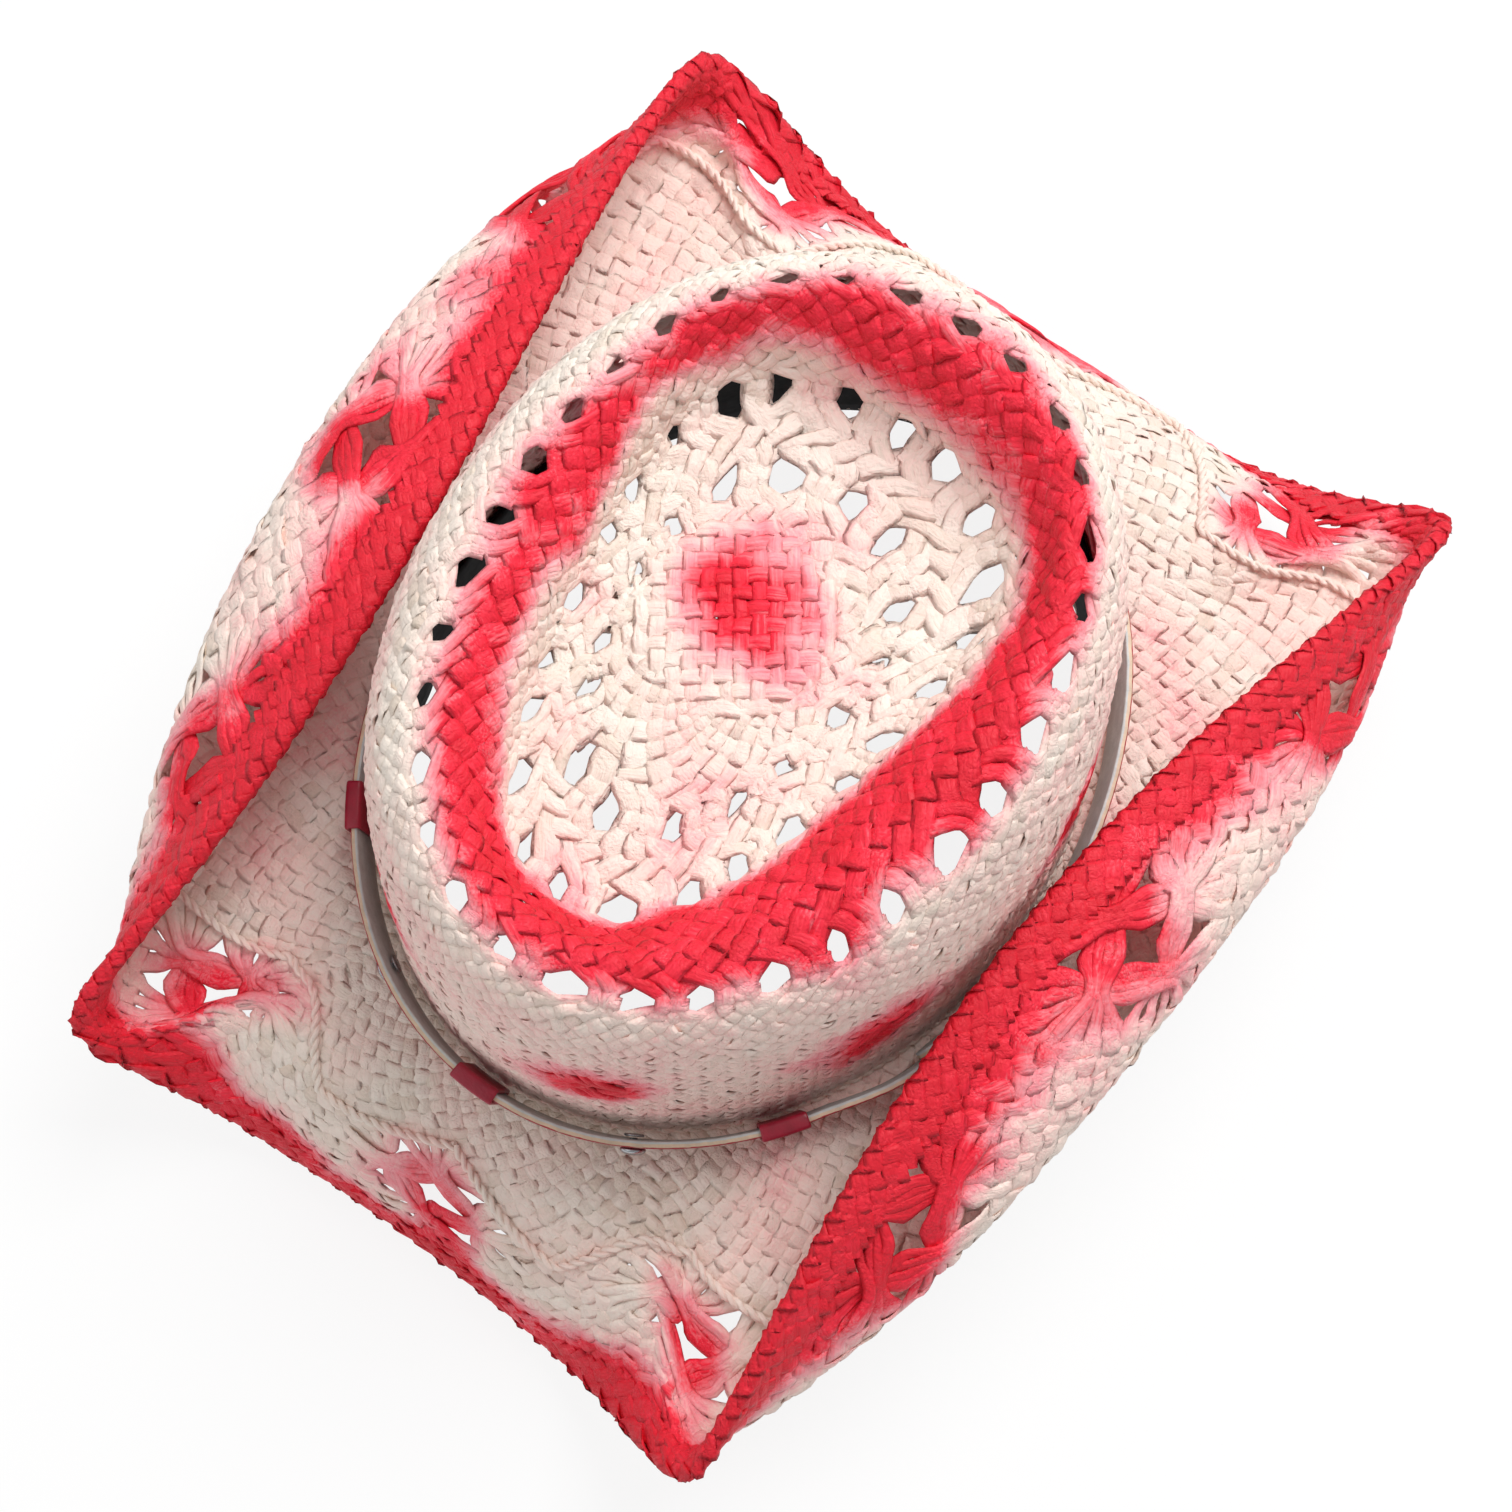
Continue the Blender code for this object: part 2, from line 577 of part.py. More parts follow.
def build_wire(finish):
    """Steel wire in the fold of the hem, and the sleeve over its two ends at the back."""
    back_turn = (math.pi / 2 - BRIM_SEAM) / (2 * math.pi)
    half_break = hem_turn(back_turn, FIT_GAP)
    columns = np.sort((corner_columns(BRIM_COLUMNS)[:-1] - back_turn) % 1)
    columns = columns[(columns > half_break) & (columns < 1 - half_break)]
    turn = back_turn + np.concatenate([[half_break], columns, [1 - half_break]])
    fold, out, side = hem_frames(turn)
    sections = ring_sections(fold + out * WIRE_OFFSET, out, side, WIRE_DIAMETER / 2, WIRE_SIDES)
    wire = sweep("brim_wire", sections, finish, closed=False)
    half_joiner = hem_turn(back_turn, JOINER_LENGTH / 2)
    fold, out, side = hem_frames(back_turn + np.array([-1, 0, 1]) * half_joiner)
    centres = fold + out * WIRE_OFFSET
    outer = ring_sections(centres, out, side, JOINER_RADIUS, 2 * WIRE_SIDES)
    inner = ring_sections(centres, out, side, JOINER_RADIUS - JOINER_WALL, 2 * WIRE_SIDES)
    return wire, sleeve("wire_joiner", outer, inner, finish)


def build_sweatband(finish):
    """Band inside the crown's foot, following its wall."""
    turn = np.arange(CROWN_COLUMNS) / CROWN_COLUMNS
    near = HALF_STRAW + FIT_GAP
    far = near + SWEATBAND_THICKNESS
    lower = -HALF_STRAW
    heights = [section[4] for section in crown_sections()[:DENT_LEVEL]]
    top_level = np.interp(SWEATBAND_HEIGHT + lower, heights, range(DENT_LEVEL))
    rising = np.linspace(0, top_level, 3)
    loop = []
    for inset, levels in ((near, rising), (far, rising[::-1])):
        for level in levels:
            spots = np.full(len(turn), level)
            points = crown_surface(turn, spots) - normals(crown_surface, turn, spots) * inset
            if level == 0:
                points[:, 2] = lower
            loop.append(points)
    return sweep("sweatband", list(np.stack(loop, axis=1)), finish)


def strap_frame(angle, share, offset=0.0):
    """Point at a share of the strap's height, moved out by offset, and its along, up and face ways."""
    angle = np.asarray(angle, float)
    grow = HALF_STRAW + STRAP_FOOT_GAP + STRAP_THICKNESS / 2
    foot = oval(angle, grow, HALF_STRAW + STRAP_LIFT + KEEPER_WALL + 2 * FIT_GAP)
    out = oval_normal(angle)
    lean = math.sqrt(STRAP_HEIGHT**2 - STRAP_FLARE**2)
    up = (out * STRAP_FLARE + np.array([0, 0, lean])) / STRAP_HEIGHT
    along = np.stack([-out[:, 1], out[:, 0], 0 * out[:, 0]], axis=-1)
    face = np.cross(along, up)
    point = foot + up * STRAP_HEIGHT * np.reshape(share, (-1, 1)) + face * np.reshape(offset, (-1, 1))
    return point, along, up, face


def strap_turn(angle, length):
    """Angle that moves a point along the strap by a length."""
    ends = strap_frame([angle - PROBE, angle + PROBE], 0.5)[0]
    return 2 * PROBE * length / np.linalg.norm(ends[1] - ends[0])


def strap_surface(turn, level):
    """Middle layer of the strap; its last stretch steps out over its first."""
    angle = STRAP_END_ANGLE + np.asarray(turn) * (2 * math.pi + STRAP_OVERLAP)
    lap_start = STRAP_END_ANGLE + 2 * math.pi - STRAP_RAMP / 5
    past = np.clip((angle - lap_start) / STRAP_RAMP + 1, 0, 1)
    step = (STRAP_THICKNESS + FIT_GAP) * past**2 * (3 - 2 * past)
    return strap_frame(angle, level, step)[0]


def build_strap(finish):
    """Loose strap round the crown's foot with overlapped ends and holes for studs and rivet."""
    whole = 2 * math.pi + STRAP_OVERLAP
    spots = [(a - STRAP_END_ANGLE) % (2 * math.pi) / whole for a in STUD_ANGLES.values()]
    spots += [0.5 * STRAP_OVERLAP / whole, (2 * math.pi + 0.5 * STRAP_OVERLAP) / whole]
    radius = STUD_POST_DIAMETER / 2 + FIT_GAP
    spin = (np.arange(8) + 0.5) * math.pi / 4
    hole = np.stack([np.cos(spin) / GIRTH, np.sin(spin) / STRAP_HEIGHT], axis=1) * radius
    holes = [[tuple(p) for p in hole + np.array([s, 0.5])] for s in spots]
    rows = [(0.0, CROWN_COLUMNS), (1.0, CROWN_COLUMNS)]
    span = (GIRTH, STRAP_HEIGHT)
    return sheet(
        "hat_band_strap", strap_surface, rows, holes, span, STRAP_THICKNESS, finish, ending="open"
    )


def build_keeper(name, angle, finish):
    """Wrapped loop round the strap, bent with it."""
    half = strap_turn(angle, KEEPER_LENGTH / 2)
    angles = angle + np.linspace(-half, half, 4)
    shapes = []
    for reach in (FIT_GAP + KEEPER_WALL, FIT_GAP):
        side, over = STRAP_THICKNESS / 2 + reach, reach / STRAP_HEIGHT
        corners = ((-over, -side), (1 + over, -side), (1 + over, side), (-over, side))
        shapes.append(np.stack([strap_frame(angles, *corner)[0] for corner in corners], axis=1))
    outer, inner = (list(shape) for shape in shapes)
    return sleeve(name, outer, inner, finish)


def turned_piece(name, profile, angle, finish):
    """Turned piece on the strap; profile runs from axis to axis as radius and height over mid strap."""
    point, along, up, face = (v[0] for v in strap_frame([angle], 0.5))
    vertices, faces, rings = [], [], []
    for radius, height in profile:
        count = 1 if radius == 0 else TURNED_SIDES
        rings.append([len(vertices) + k % count for k in range(TURNED_SIDES)])
        for k in range(count):
            spin = 2 * math.pi * k / TURNED_SIDES
            vertices.append(point + radius * (math.cos(spin) * along + math.sin(spin) * up) + height * face)
    for lower, upper in zip(rings, rings[1:]):
        for k in range(TURNED_SIDES):
            face_corners = (lower[k - 1], lower[k], upper[k], upper[k - 1])
            faces.append(tuple(dict.fromkeys(face_corners)))
    return add_object(name, vertices, faces, finish)


def stud_profile(seat, tail):
    """Domed head on a post: the head sits at seat and the post ends at tail."""
    post, head = STUD_POST_DIAMETER / 2, STUD_DIAMETER / 2
    edge = STUD_EDGE_SHARE * STUD_HEIGHT
    dome = [(head * math.cos(a), seat + mix(edge, STUD_HEIGHT, math.sin(a))) for a in DOME_ANGLES]
    return [(0, tail), (post, tail), (post, seat), (head, seat), *dome, (0, seat + STUD_HEIGHT)]


def washer_profile(top):
    """Plain disc under the strap, its upper face at top."""
    radius = STUD_BACK_DIAMETER / 2
    low = top - STUD_BACK_THICKNESS
    return [(0, low), (radius, low), (radius, top), (0, top)]


def build_studs(finish):
    """Studs through the strap with the washers inside, and the rivet through the overlapped ends."""
    bare = STRAP_THICKNESS / 2 + FIT_GAP
    pieces = []
    for side, angle in STUD_ANGLES.items():
        pieces.append(turned_piece("band_stud_" + side, stud_profile(bare, -bare), angle, finish))
        pieces.append(turned_piece("stud_back_" + side, washer_profile(-bare - FIT_GAP), angle, finish))
    over_lap = bare + STRAP_THICKNESS + FIT_GAP
    lap_middle = STRAP_END_ANGLE + STRAP_OVERLAP / 2
    pieces.append(turned_piece("strap_rivet", stud_profile(over_lap, -bare), lap_middle, finish))
    return pieces


def add_empty(name, pieces):
    """Empty that carries the given pieces."""
    empty = bpy.data.objects.new(name, None)
    bpy.context.scene.collection.objects.link(empty)
    for piece in pieces:
        piece.parent = empty
    return empty


def shaped_points(item):
    """Points of an object with its modifiers."""
    shaped = item.evaluated_get(bpy.context.evaluated_depsgraph_get())
    return np.array([v.co for v in shaped.data.vertices])


def main():
    """Build every piece, hang the band on its own empty and stand the hat on its brim."""
    clear_scene()
    straw = material("straw", "ead9c6", 0.65)
    red_straw = material("red_straw", "d22a3f", 0.6)
    leather = material("red_leather", "9e192c", 0.45)
    cloth = material("black_cloth", "141414", 0.9)
    steel = material("steel", "b9bcc0", 0.3, 1.0)
    brim, hem = build_brim(straw), build_hem(red_straw)
    body = [build_crown(straw), brim, hem, *build_wire(steel), build_sweatband(cloth)]
    keepers = [build_keeper("band_keeper_" + side, a, leather) for side, a in KEEPER_ANGLES.items()]
    band = add_empty("hat_band", [build_strap(leather), *keepers, *build_studs(steel)])
    hat = add_empty("hat", [*body, band])
    outline = np.concatenate([shaped_points(brim), shaped_points(hem)])
    low, high = outline.min(axis=0), outline.max(axis=0)
    hat.location = (-(low[0] + high[0]) / 2, -(low[1] + high[1]) / 2, -low[2])


main()
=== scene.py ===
"""Straw western hat, dressed on the frame of its solids: the plait strand by strand, its dye and trimmings.

Metres, +Z up, front of the hat towards -Y.
"""

import math

import bpy
import numpy as np
from bpy.props import FloatProperty, FloatVectorProperty, PointerProperty
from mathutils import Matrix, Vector


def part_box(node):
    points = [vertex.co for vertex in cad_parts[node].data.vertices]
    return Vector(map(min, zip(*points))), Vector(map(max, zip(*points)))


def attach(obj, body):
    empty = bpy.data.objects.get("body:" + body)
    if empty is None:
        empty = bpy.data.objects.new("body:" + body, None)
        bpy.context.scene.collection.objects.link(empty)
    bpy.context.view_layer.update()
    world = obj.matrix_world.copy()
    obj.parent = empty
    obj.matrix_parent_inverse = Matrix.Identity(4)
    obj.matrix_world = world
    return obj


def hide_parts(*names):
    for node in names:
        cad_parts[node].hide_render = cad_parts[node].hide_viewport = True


bl_info = {
    "name": "Straw Western Hat",
    "version": (1, 0, 0),
    "blender": (4, 5, 0),
    "location": "View3D > Sidebar > Straw Hat",
    "description": "Plaits, dyes and trims a western straw hat on the frame of its solids",
    "category": "Object",
}

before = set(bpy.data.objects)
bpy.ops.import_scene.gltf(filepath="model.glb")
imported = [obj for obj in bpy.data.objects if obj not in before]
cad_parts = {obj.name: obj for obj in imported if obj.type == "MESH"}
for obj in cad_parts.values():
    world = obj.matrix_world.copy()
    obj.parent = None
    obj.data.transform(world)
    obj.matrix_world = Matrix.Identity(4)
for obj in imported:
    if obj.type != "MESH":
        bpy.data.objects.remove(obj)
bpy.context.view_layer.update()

MM = 0.001
TAU = 2 * math.pi
HALF_STRAW = 1.2 * MM
FIT_GAP = 0.35 * MM
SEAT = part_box("sweatband")
FOOT = np.array([(SEAT[0].x + SEAT[1].x) / 2, (SEAT[0].y + SEAT[1].y) / 2, SEAT[0].z + HALF_STRAW])

# Crown sections, foot to tip, in millimetres: half width, front, back, narrowing, height, slope, squareness
CROWN_SECTIONS = (
    (83.0, 103.5, 103.5, 0.00, 1.55, 0.0, 2.0),
    (82.04, 102.06, 102.06, 0.01, 30.885, 0.0, 2.0),
    (80.6, 100.5, 100.5, 0.02, 62.835, 0.03, 2.0),
    (77.4, 97.9, 97.9, 0.03, 87.0, 0.078, 2.05),
    (69.5, 90.0, 90.0, 0.05, 103.0, 0.117, 2.1),
    (57.5, 80.5, 80.5, 0.12, 106.5, 0.13, 2.3),
    (46.5, 74.0, 69.5, 0.25, 97.9, 0.13, 2.7),
    (39.0, 66.5, 62.0, 0.25, 85.0, 0.091, 2.5),
    (20.925, 33.3, 31.275, 0.12, 82.0, 0.026, 2.1),
    (0.0, 0.0, 0.0, 0.0, 82.9, 0.0, 2.0),
)
TIP_LEVEL = 9
DENT_LEVEL = 6
TIP_SHIFT = 5.0

# Brim: foot oval, edge and roll
HALF_WIDTH, HALF_LENGTH = 83 * MM, 103.5 * MM
BRIM_DROP = 54 * MM
FRONT_REACH, BACK_REACH = 42.5 * MM, 53 * MM
FRONT_CORNER = np.array([HALF_WIDTH + 14.8 * MM, -HALF_LENGTH - 58 * MM, 5 * MM])
FRONT_CORNER_ANGLE, BACK_CORNER_ANGLE = math.radians(-58), math.radians(52)
ROLL_RISE = 37 * MM
CORNER_HANDLE, FRONT_HANDLE, BACK_HANDLE = 40 * MM, 25 * MM, 32 * MM
ROLL_LIP, CORNER_LIP, DIP_LIP = math.radians(182), math.radians(40), math.radians(-90)
LEVEL_SHARE, DIP_SPREAD, CORNER_SWEEP = 0.3, 1.8, 2.5
ROLL_FULLNESS = 0.3
HEM_FLAP, HEM_NOSE = 7 * MM, 4 * MM

# Rolls, bent unevenly by wear: back corner, bow towards the crown, skew towards the back, curve handle
RIGHT_BACK = np.array([HALF_WIDTH + 35 * MM, HALF_LENGTH + 52.5 * MM, 17.6 * MM])
LEFT_BACK = np.array([HALF_WIDTH + 35 * MM, HALF_LENGTH + 46.5 * MM, 26.6 * MM])
RIGHT_ROLL = (RIGHT_BACK, 22.5 * MM, 1.6 * MM, 55 * MM)
LEFT_ROLL = (LEFT_BACK, 20.5 * MM, 11 * MM, 61 * MM)

# Grids of the sheets: columns round, rows up, and how far up each one goes
BRIM_COLUMNS, BRIM_STEPS, BRIM_TOP = 1440, 133, 1.1
CROWN_COLUMNS, CROWN_STEPS = 720, 353
BRIM_MIDDLE_STEP = 60

# Plait: strands each way, rows, openwork
BRIM_STRANDS = 120
FLOWERS, FLOWER_HALF = 12, 4
FLOWER_ROWS = (17, 19, 25, 27, 27, 21, 21, 23, 27, 29, 25, 19)
FLOWER_GAPS = np.array([35, 40, 20, 26, 19, 29, 24, 21, 21, 25, 21, 43]) * MM
HEM_STRANDS, HEM_ROWS = 168, 8
RING_HOLES = (32, 24, 16)
RING_LEVELS = (4.45, 6.9, 7.62)
RING_TILT, RING_LEAN, RING_LEAN_TURN = 0.5, 0.4, 0.85
CROWN_STRANDS = (96, 64, 40, 26)
CROWN_TOP_LEVEL = 8.5
CROWN_SHEET_TOP = CROWN_TOP_LEVEL + 0.3
ZONE_DEPTH, ZONE_SNUG = (0.85, 1, 0.9, 0.9), (1.28, 1.22, 1.36, 1.36)
WALL_FLOWERS, WALL_FLOWER_HALF, WALL_FLOWER_ROW = 8, 3, 16
WALL_SPOT = 4.5 / CROWN_STRANDS[0]
FLOWER_BUNDLE = 0.44
RING_REACH, RING_OVERLAP = 1.7, 1.1
SAMPLES = 3
BRIM_SEED, HEM_SEED, CROWN_SEED, TIP_SEED, ZIGZAG_SEED, FOOT_SEED = 11, 21, 31, 70, 91, 92

# How uneven strands are: roughness, sway, usual width, swelling, roll and tone
ROUGH, SWAY, USUAL_WIDTH = 0.16 * MM, 0.2 * MM, 4.2 * MM
SWELL, ROLL, TONE = 0.1, 0.2, 0.12

# Basket patch on the tip
TIP_SPACING, TIP_REACH, TIP_STRANDS = 3.9 * MM, 24 * MM, 12
TIP_MIDDLE, TIP_EDGE = np.array([-7 * MM, 6 * MM]), 4 * MM

# Dye: girths to measure along, blurs of its edges, places of its spots, strength of each coat
BRIM_GIRTH, CROWN_GIRTH = 900 * MM, 580 * MM
HEM_BLUR_MM, ROLL_BLUR_MM = 19, 27
FLOWER_BLUR, TIP_BLUR, WALL_BLUR = 19 * MM, 30 * MM, 25 * MM
TIP_SPOT, WALL_SPOT_HEIGHT = (-8 * MM, 7 * MM), 44 * MM
FLOWER_COAT, RIM_COAT, TIP_COAT, WALL_COAT = 0.8, 0.86, 0.76, 0.8

# Hat band
STRAP_HEIGHT, STRAP_THICKNESS, STRAP_FLARE = 15 * MM, 1.8 * MM, 2.6 * MM
STRAP_GROW = HALF_STRAW + 2 * MM + STRAP_THICKNESS / 2
STRAP_FOOT = HALF_STRAW + 2.3 * MM
STRAP_END, STRAP_OVERLAP, STRAP_RAMP = (math.radians(a) for a in (-22, 13, 13))
KEEPER_LENGTH, KEEPER_WALL = 12 * MM, 0.9 * MM
KEEPER_ANGLES = {"left": math.radians(-139), "front": math.radians(-91), "right": math.radians(-43)}
STUD_ANGLES = {"left": math.radians(-115), "right": math.radians(-65)}
STUD_RADIUS, STUD_SHANK = 3.25 * MM, 1 * MM
WASHER_MM = ((0.02, 0), (2.3, 0), (2.5, 0.15), (2.5, 0.45), (2.3, 0.6), (0.02, 0.6))
WASHER_THICKNESS = 0.6 * MM

# Stage: lamps by name, steps to the picture's right and top, height, size and power
LAMPS = (("key", 0.5, 0.6, 1.3, 0.9, 21.0), ("fill", -1.1, -0.3, 1.0, 1.4, 4.0))
AIM_HEIGHT, AIM_RIGHT, AIM_DOWN = 17.6 * MM, 2.9, 6.0
FLOOR_REACH, FLOOR_GLOW, SKY_LIGHT = 4, 0.86, 0.43


def linear(code):
    """sRGB hex colour as linear red, green and blue."""
    channels = [int(code[i : i + 2], 16) / 255 for i in (0, 2, 4)]
    return tuple(c / 12.92 if c <= 0.04045 else ((c + 0.055) / 1.055) ** 2.4 for c in channels)


def length(name, description, default):
    """Property for a size in metres."""
    return FloatProperty(name=name, description=description, default=default, unit="LENGTH", precision=5)


def colour(name, description, code):
    """Property for a colour given as sRGB hex."""
    return FloatVectorProperty(
        name=name, description=description, default=linear(code), subtype="COLOR", min=0, max=1
    )


def portion(name, description, default):
    """Property for a share of 0 to 1."""
    return FloatProperty(name=name, description=description, default=default, min=0, max=1)


def bearing(name, description, degrees):
    """Property for an angle."""
    return FloatProperty(name=name, description=description, default=math.radians(degrees), subtype="ANGLE")


class StrawSettings(bpy.types.PropertyGroup):
    """Sizes of the plait."""

    thickness: length("Strand Thickness", "Thickness of one straw strand", 1.15 * MM)
    depth: length("Weave Depth", "How far a strand rises over the ones it crosses", 0.62 * MM)
    narrow: length("Narrowest Strand", "Width of a strand where a bundle squeezes it", 3.3 * MM)
    wide: length("Widest Strand", "Width that no strand passes", 7.2 * MM)
    cord: length("Cord Thickness", "Thickness of one ply of the raised cords", 1.5 * MM)
    ring: portion("Ring Gather", "How wide the bundles between ring holes stay", 0.47)
    knot: portion("Knot Gather", "How wide bundles stay where they cross in a flower", 0.22)
    tuft: portion("Tuft Gather", "How wide bundles stay between two knots of a flower", 0.48)


class DyeSettings(bpy.types.PropertyGroup):
    """Colours of straw and dye, and how far the dye reaches."""

    cream: colour("Straw", "Bare straw", "f4e8dc")
    shade: colour("Dull Straw", "Darker fibres of bare straw", "e0cfbe")
    blush: colour("Overspray", "Straw that caught a little dye", "f9dad0")
    pink: colour("Light Dye", "Straw under a thin coat of dye", "f79aa2")
    red: colour("Dye", "Straw under full dye", "f3233e")
    deep: colour("Deep Dye", "Straw where the dye pooled", "da122a")
    hem: length("Hem Dye", "Width of the dyed band along the brim's edge", 8 * MM)
    roll: length("Roll Dye", "How much narrower that band is on the rolled sides", 2 * MM)
    flower: length("Flower Dye", "Radius of the dyed spot in each brim flower", 4 * MM)


class BandSettings(bpy.types.PropertyGroup):
    """Colours of the hat band, sweatband and fittings."""

    strap: colour("Strap Face", "Outer face of the strap", "a3162b")
    lining: colour("Strap Lining", "Inner face of the strap", "c6cccb")
    core: colour("Strap Edge", "Raw edge of the strap", "d9c4a8")
    keeper: colour("Keeper", "Wrapped loops on the strap", "9b1430")
    tape: colour("Sweatband", "Black tape inside the crown", "161517")
    steel: colour("Steel", "Studs, rivet and hem wire", "b9bcc0")


class StageSettings(bpy.types.PropertyGroup):
    """Camera and light."""

    azimuth: bearing("Azimuth", "Camera's way round the hat", 35.6)
    elevation: bearing("Elevation", "Camera's angle over the floor", 75)
    distance: length("Distance", "Camera to hat", 0.7245)
    lens: FloatProperty(name="Lens", description="Focal length in millimetres", default=68.83)
    floor: colour("Floor", "Pale floor", "f4f4f4")


class HatSettings(bpy.types.PropertyGroup):
    """All settings of the hat."""

    straw: PointerProperty(type=StrawSettings, name="Straw")
    dye: PointerProperty(type=DyeSettings, name="Dye")
    band: PointerProperty(type=BandSettings, name="Band")
    stage: PointerProperty(type=StageSettings, name="Stage")


def unit(vectors):
    """Vectors scaled to length one."""
    return vectors / np.maximum(np.linalg.norm(vectors, axis=-1, keepdims=True), 1e-12)


def mix(first, second, share):
    """Straight blend of two values."""
    return first + (second - first) * share


def ease(share):
    """Smooth step of a share clipped to 0..1."""
    share = np.clip(share, 0, 1)
    return share * share * (3 - 2 * share)


def fade(distance, reach, blur):
    """One within reach, falling smoothly to nothing over blur."""
    return ease((reach + blur - distance) / blur)


def cloud(points, size, seed):
    """Smooth noise of about -1 to 1 in blotches of the given size."""
    rng = np.random.default_rng(seed)
    waves = rng.normal(size=(14, 3)) * math.pi / (1.6 * size)
    return np.sin(points @ waves.T + rng.uniform(0, TAU, 14)).sum(axis=-1) / math.sqrt(14)


def wander(rng, strands, samples, knots):
    """Smooth random values along each strand."""
    values = rng.normal(size=(strands, knots + 1))
    spot = np.linspace(0, knots - 1e-6, samples)
    start = spot.astype(int)
    return mix(values[:, start], values[:, start + 1], ease(spot - start))


class Sheet:
    """Middle layer of a straw sheet as a fine grid of turn and share, with its upper or outer normals."""

    def __init__(self, points, top):
        self.points = points
        self.top = top
        round_way = np.roll(points, -1, axis=0) - np.roll(points, 1, axis=0)
        rise = np.gradient(points, axis=1)
        self.normals = unit(np.cross(round_way, rise))
        self.girth = np.linalg.norm(round_way, axis=-1) / 2 * len(points)

    def read(self, grid, turn, share):
        """Values of a grid at any turn and share."""
        columns, rows = grid.shape[:2]
        x = np.asarray(turn) % 1 * columns
        y = np.clip(np.asarray(share) / self.top, 0, 1 - 1e-9) * (rows - 1)
        i, j = np.floor(x).astype(int) % columns, np.floor(y).astype(int)
        fx, fy = (x - np.floor(x))[..., None], (y - j)[..., None]
        k = (i + 1) % columns
        near = mix(grid[i, j], grid[k, j], fx)
        return mix(near, mix(grid[i, j + 1], grid[k, j + 1], fx), fy)

    def point(self, turn, share):
        return self.read(self.points, turn, share)

    def normal(self, turn, share):
        return unit(self.read(self.normals, turn, share))


def crown_point(angle, level):
    """Middle layer of the crown at angles round it and levels 0 to 9 from foot to tip."""
    rings = []
    for k, (wide, front, back, narrowing, height, slope, square) in enumerate(CROWN_SECTIONS):
        across = np.sign(np.cos(angle)) * np.abs(np.cos(angle)) ** (2 / square)
        along = np.sign(np.sin(angle)) * np.abs(np.sin(angle)) ** (2 / square)
        y = np.where(along > 0, back, front) * along
        shift = TIP_SHIFT * max(0, k - DENT_LEVEL) / (TIP_LEVEL - DENT_LEVEL)
        x = wide * across * (1 + narrowing * along) - shift
        rings.append(np.stack([x, y, height + slope * y], axis=-1) * MM)
    rings = np.stack(rings)
    start = np.clip(np.floor(level).astype(int), 0, TIP_LEVEL - 1)
    t = (level - start)[:, None]
    each = np.arange(len(angle))
    p0, p1, p2, p3 = (rings[np.clip(start + k, 0, TIP_LEVEL), each] for k in (-1, 0, 1, 2))
    bend = 2 * p0 - 5 * p1 + 4 * p2 - p3
    return 0.5 * (2 * p1 + (p2 - p0) * t + bend * t**2 + (-p0 + 3 * p1 - 3 * p2 + p3) * t**3)


def even_turn(points):
    """Share of the way round a closed row of points, by length."""
    steps = np.linalg.norm(np.diff(points, axis=0), axis=1)
    return np.concatenate([[0], np.cumsum(steps)]) / steps.sum()


def crown_sheet():
    """Crown with turn 0 at the front, evenly spaced round each level; share is the level."""
    fine = np.linspace(-math.pi / 2, 1.5 * math.pi, 2 * CROWN_COLUMNS + 1)
    turn = np.arange(CROWN_COLUMNS) / CROWN_COLUMNS
    columns = []
    for level in np.linspace(0, CROWN_SHEET_TOP, CROWN_STEPS):
        angle = np.interp(turn, even_turn(crown_point(fine, np.full(len(fine), level))), fine)
        columns.append(crown_point(angle, np.full(len(angle), level)))
    return Sheet(np.stack(columns, axis=1) + FOOT, CROWN_SHEET_TOP)


def soften(values, spread):
    """Round off a closed row of values; spread is an angle in degrees."""
    step = 360 / len(values)
    reach = int(4 * spread / step)
    kernel = np.exp(-0.5 * (np.arange(-reach, reach + 1) * step / spread) ** 2)
    padded = np.concatenate([values[-reach:], values, values[:reach]])
    return np.stack([np.convolve(c, kernel / kernel.sum(), "valid") for c in padded.T], axis=-1)


def brim_edge(angle, back, bow, skew, full_handle):
    """Edge point, outward direction, lip angle and curve handles on a right half."""
    if FRONT_CORNER_ANGLE <= angle <= BACK_CORNER_ANGLE:
        share = (angle - FRONT_CORNER_ANGLE) / (BACK_CORNER_ANGLE - FRONT_CORNER_ANGLE)
        arch = math.sin(math.pi * share)
        point = mix(FRONT_CORNER, back, share) + arch * np.array([skew * (2 * share - 1) - bow, 0, ROLL_RISE])
        handle = mix(CORNER_HANDLE, full_handle, arch**ROLL_FULLNESS)
        return [*point, 1, 0, mix(CORNER_LIP, ROLL_LIP, math.sqrt(arch)), handle, handle]
    if angle < 0:
        corner, reach, facing, start = FRONT_CORNER, -HALF_LENGTH - FRONT_REACH, -1, FRONT_HANDLE
        share = (angle + math.pi / 2) / (FRONT_CORNER_ANGLE + math.pi / 2)
    else:
        corner, reach, facing, start = back, HALF_LENGTH + BACK_REACH, 1, BACK_HANDLE
        share = (math.pi / 2 - angle) / (math.pi / 2 - BACK_CORNER_ANGLE)
    rise = max(0.0, (share - LEVEL_SHARE) / (1 - LEVEL_SHARE)) ** DIP_SPREAD
    point = (corner[0] * share, mix(reach, corner[1], share**CORNER_SWEEP), mix(-BRIM_DROP, corner[2], rise))
    near, far = mix(start, CORNER_HANDLE, share), mix(FRONT_HANDLE, CORNER_HANDLE, share)
    return [*point, 0, facing, mix(DIP_LIP, CORNER_LIP, rise), near, far]


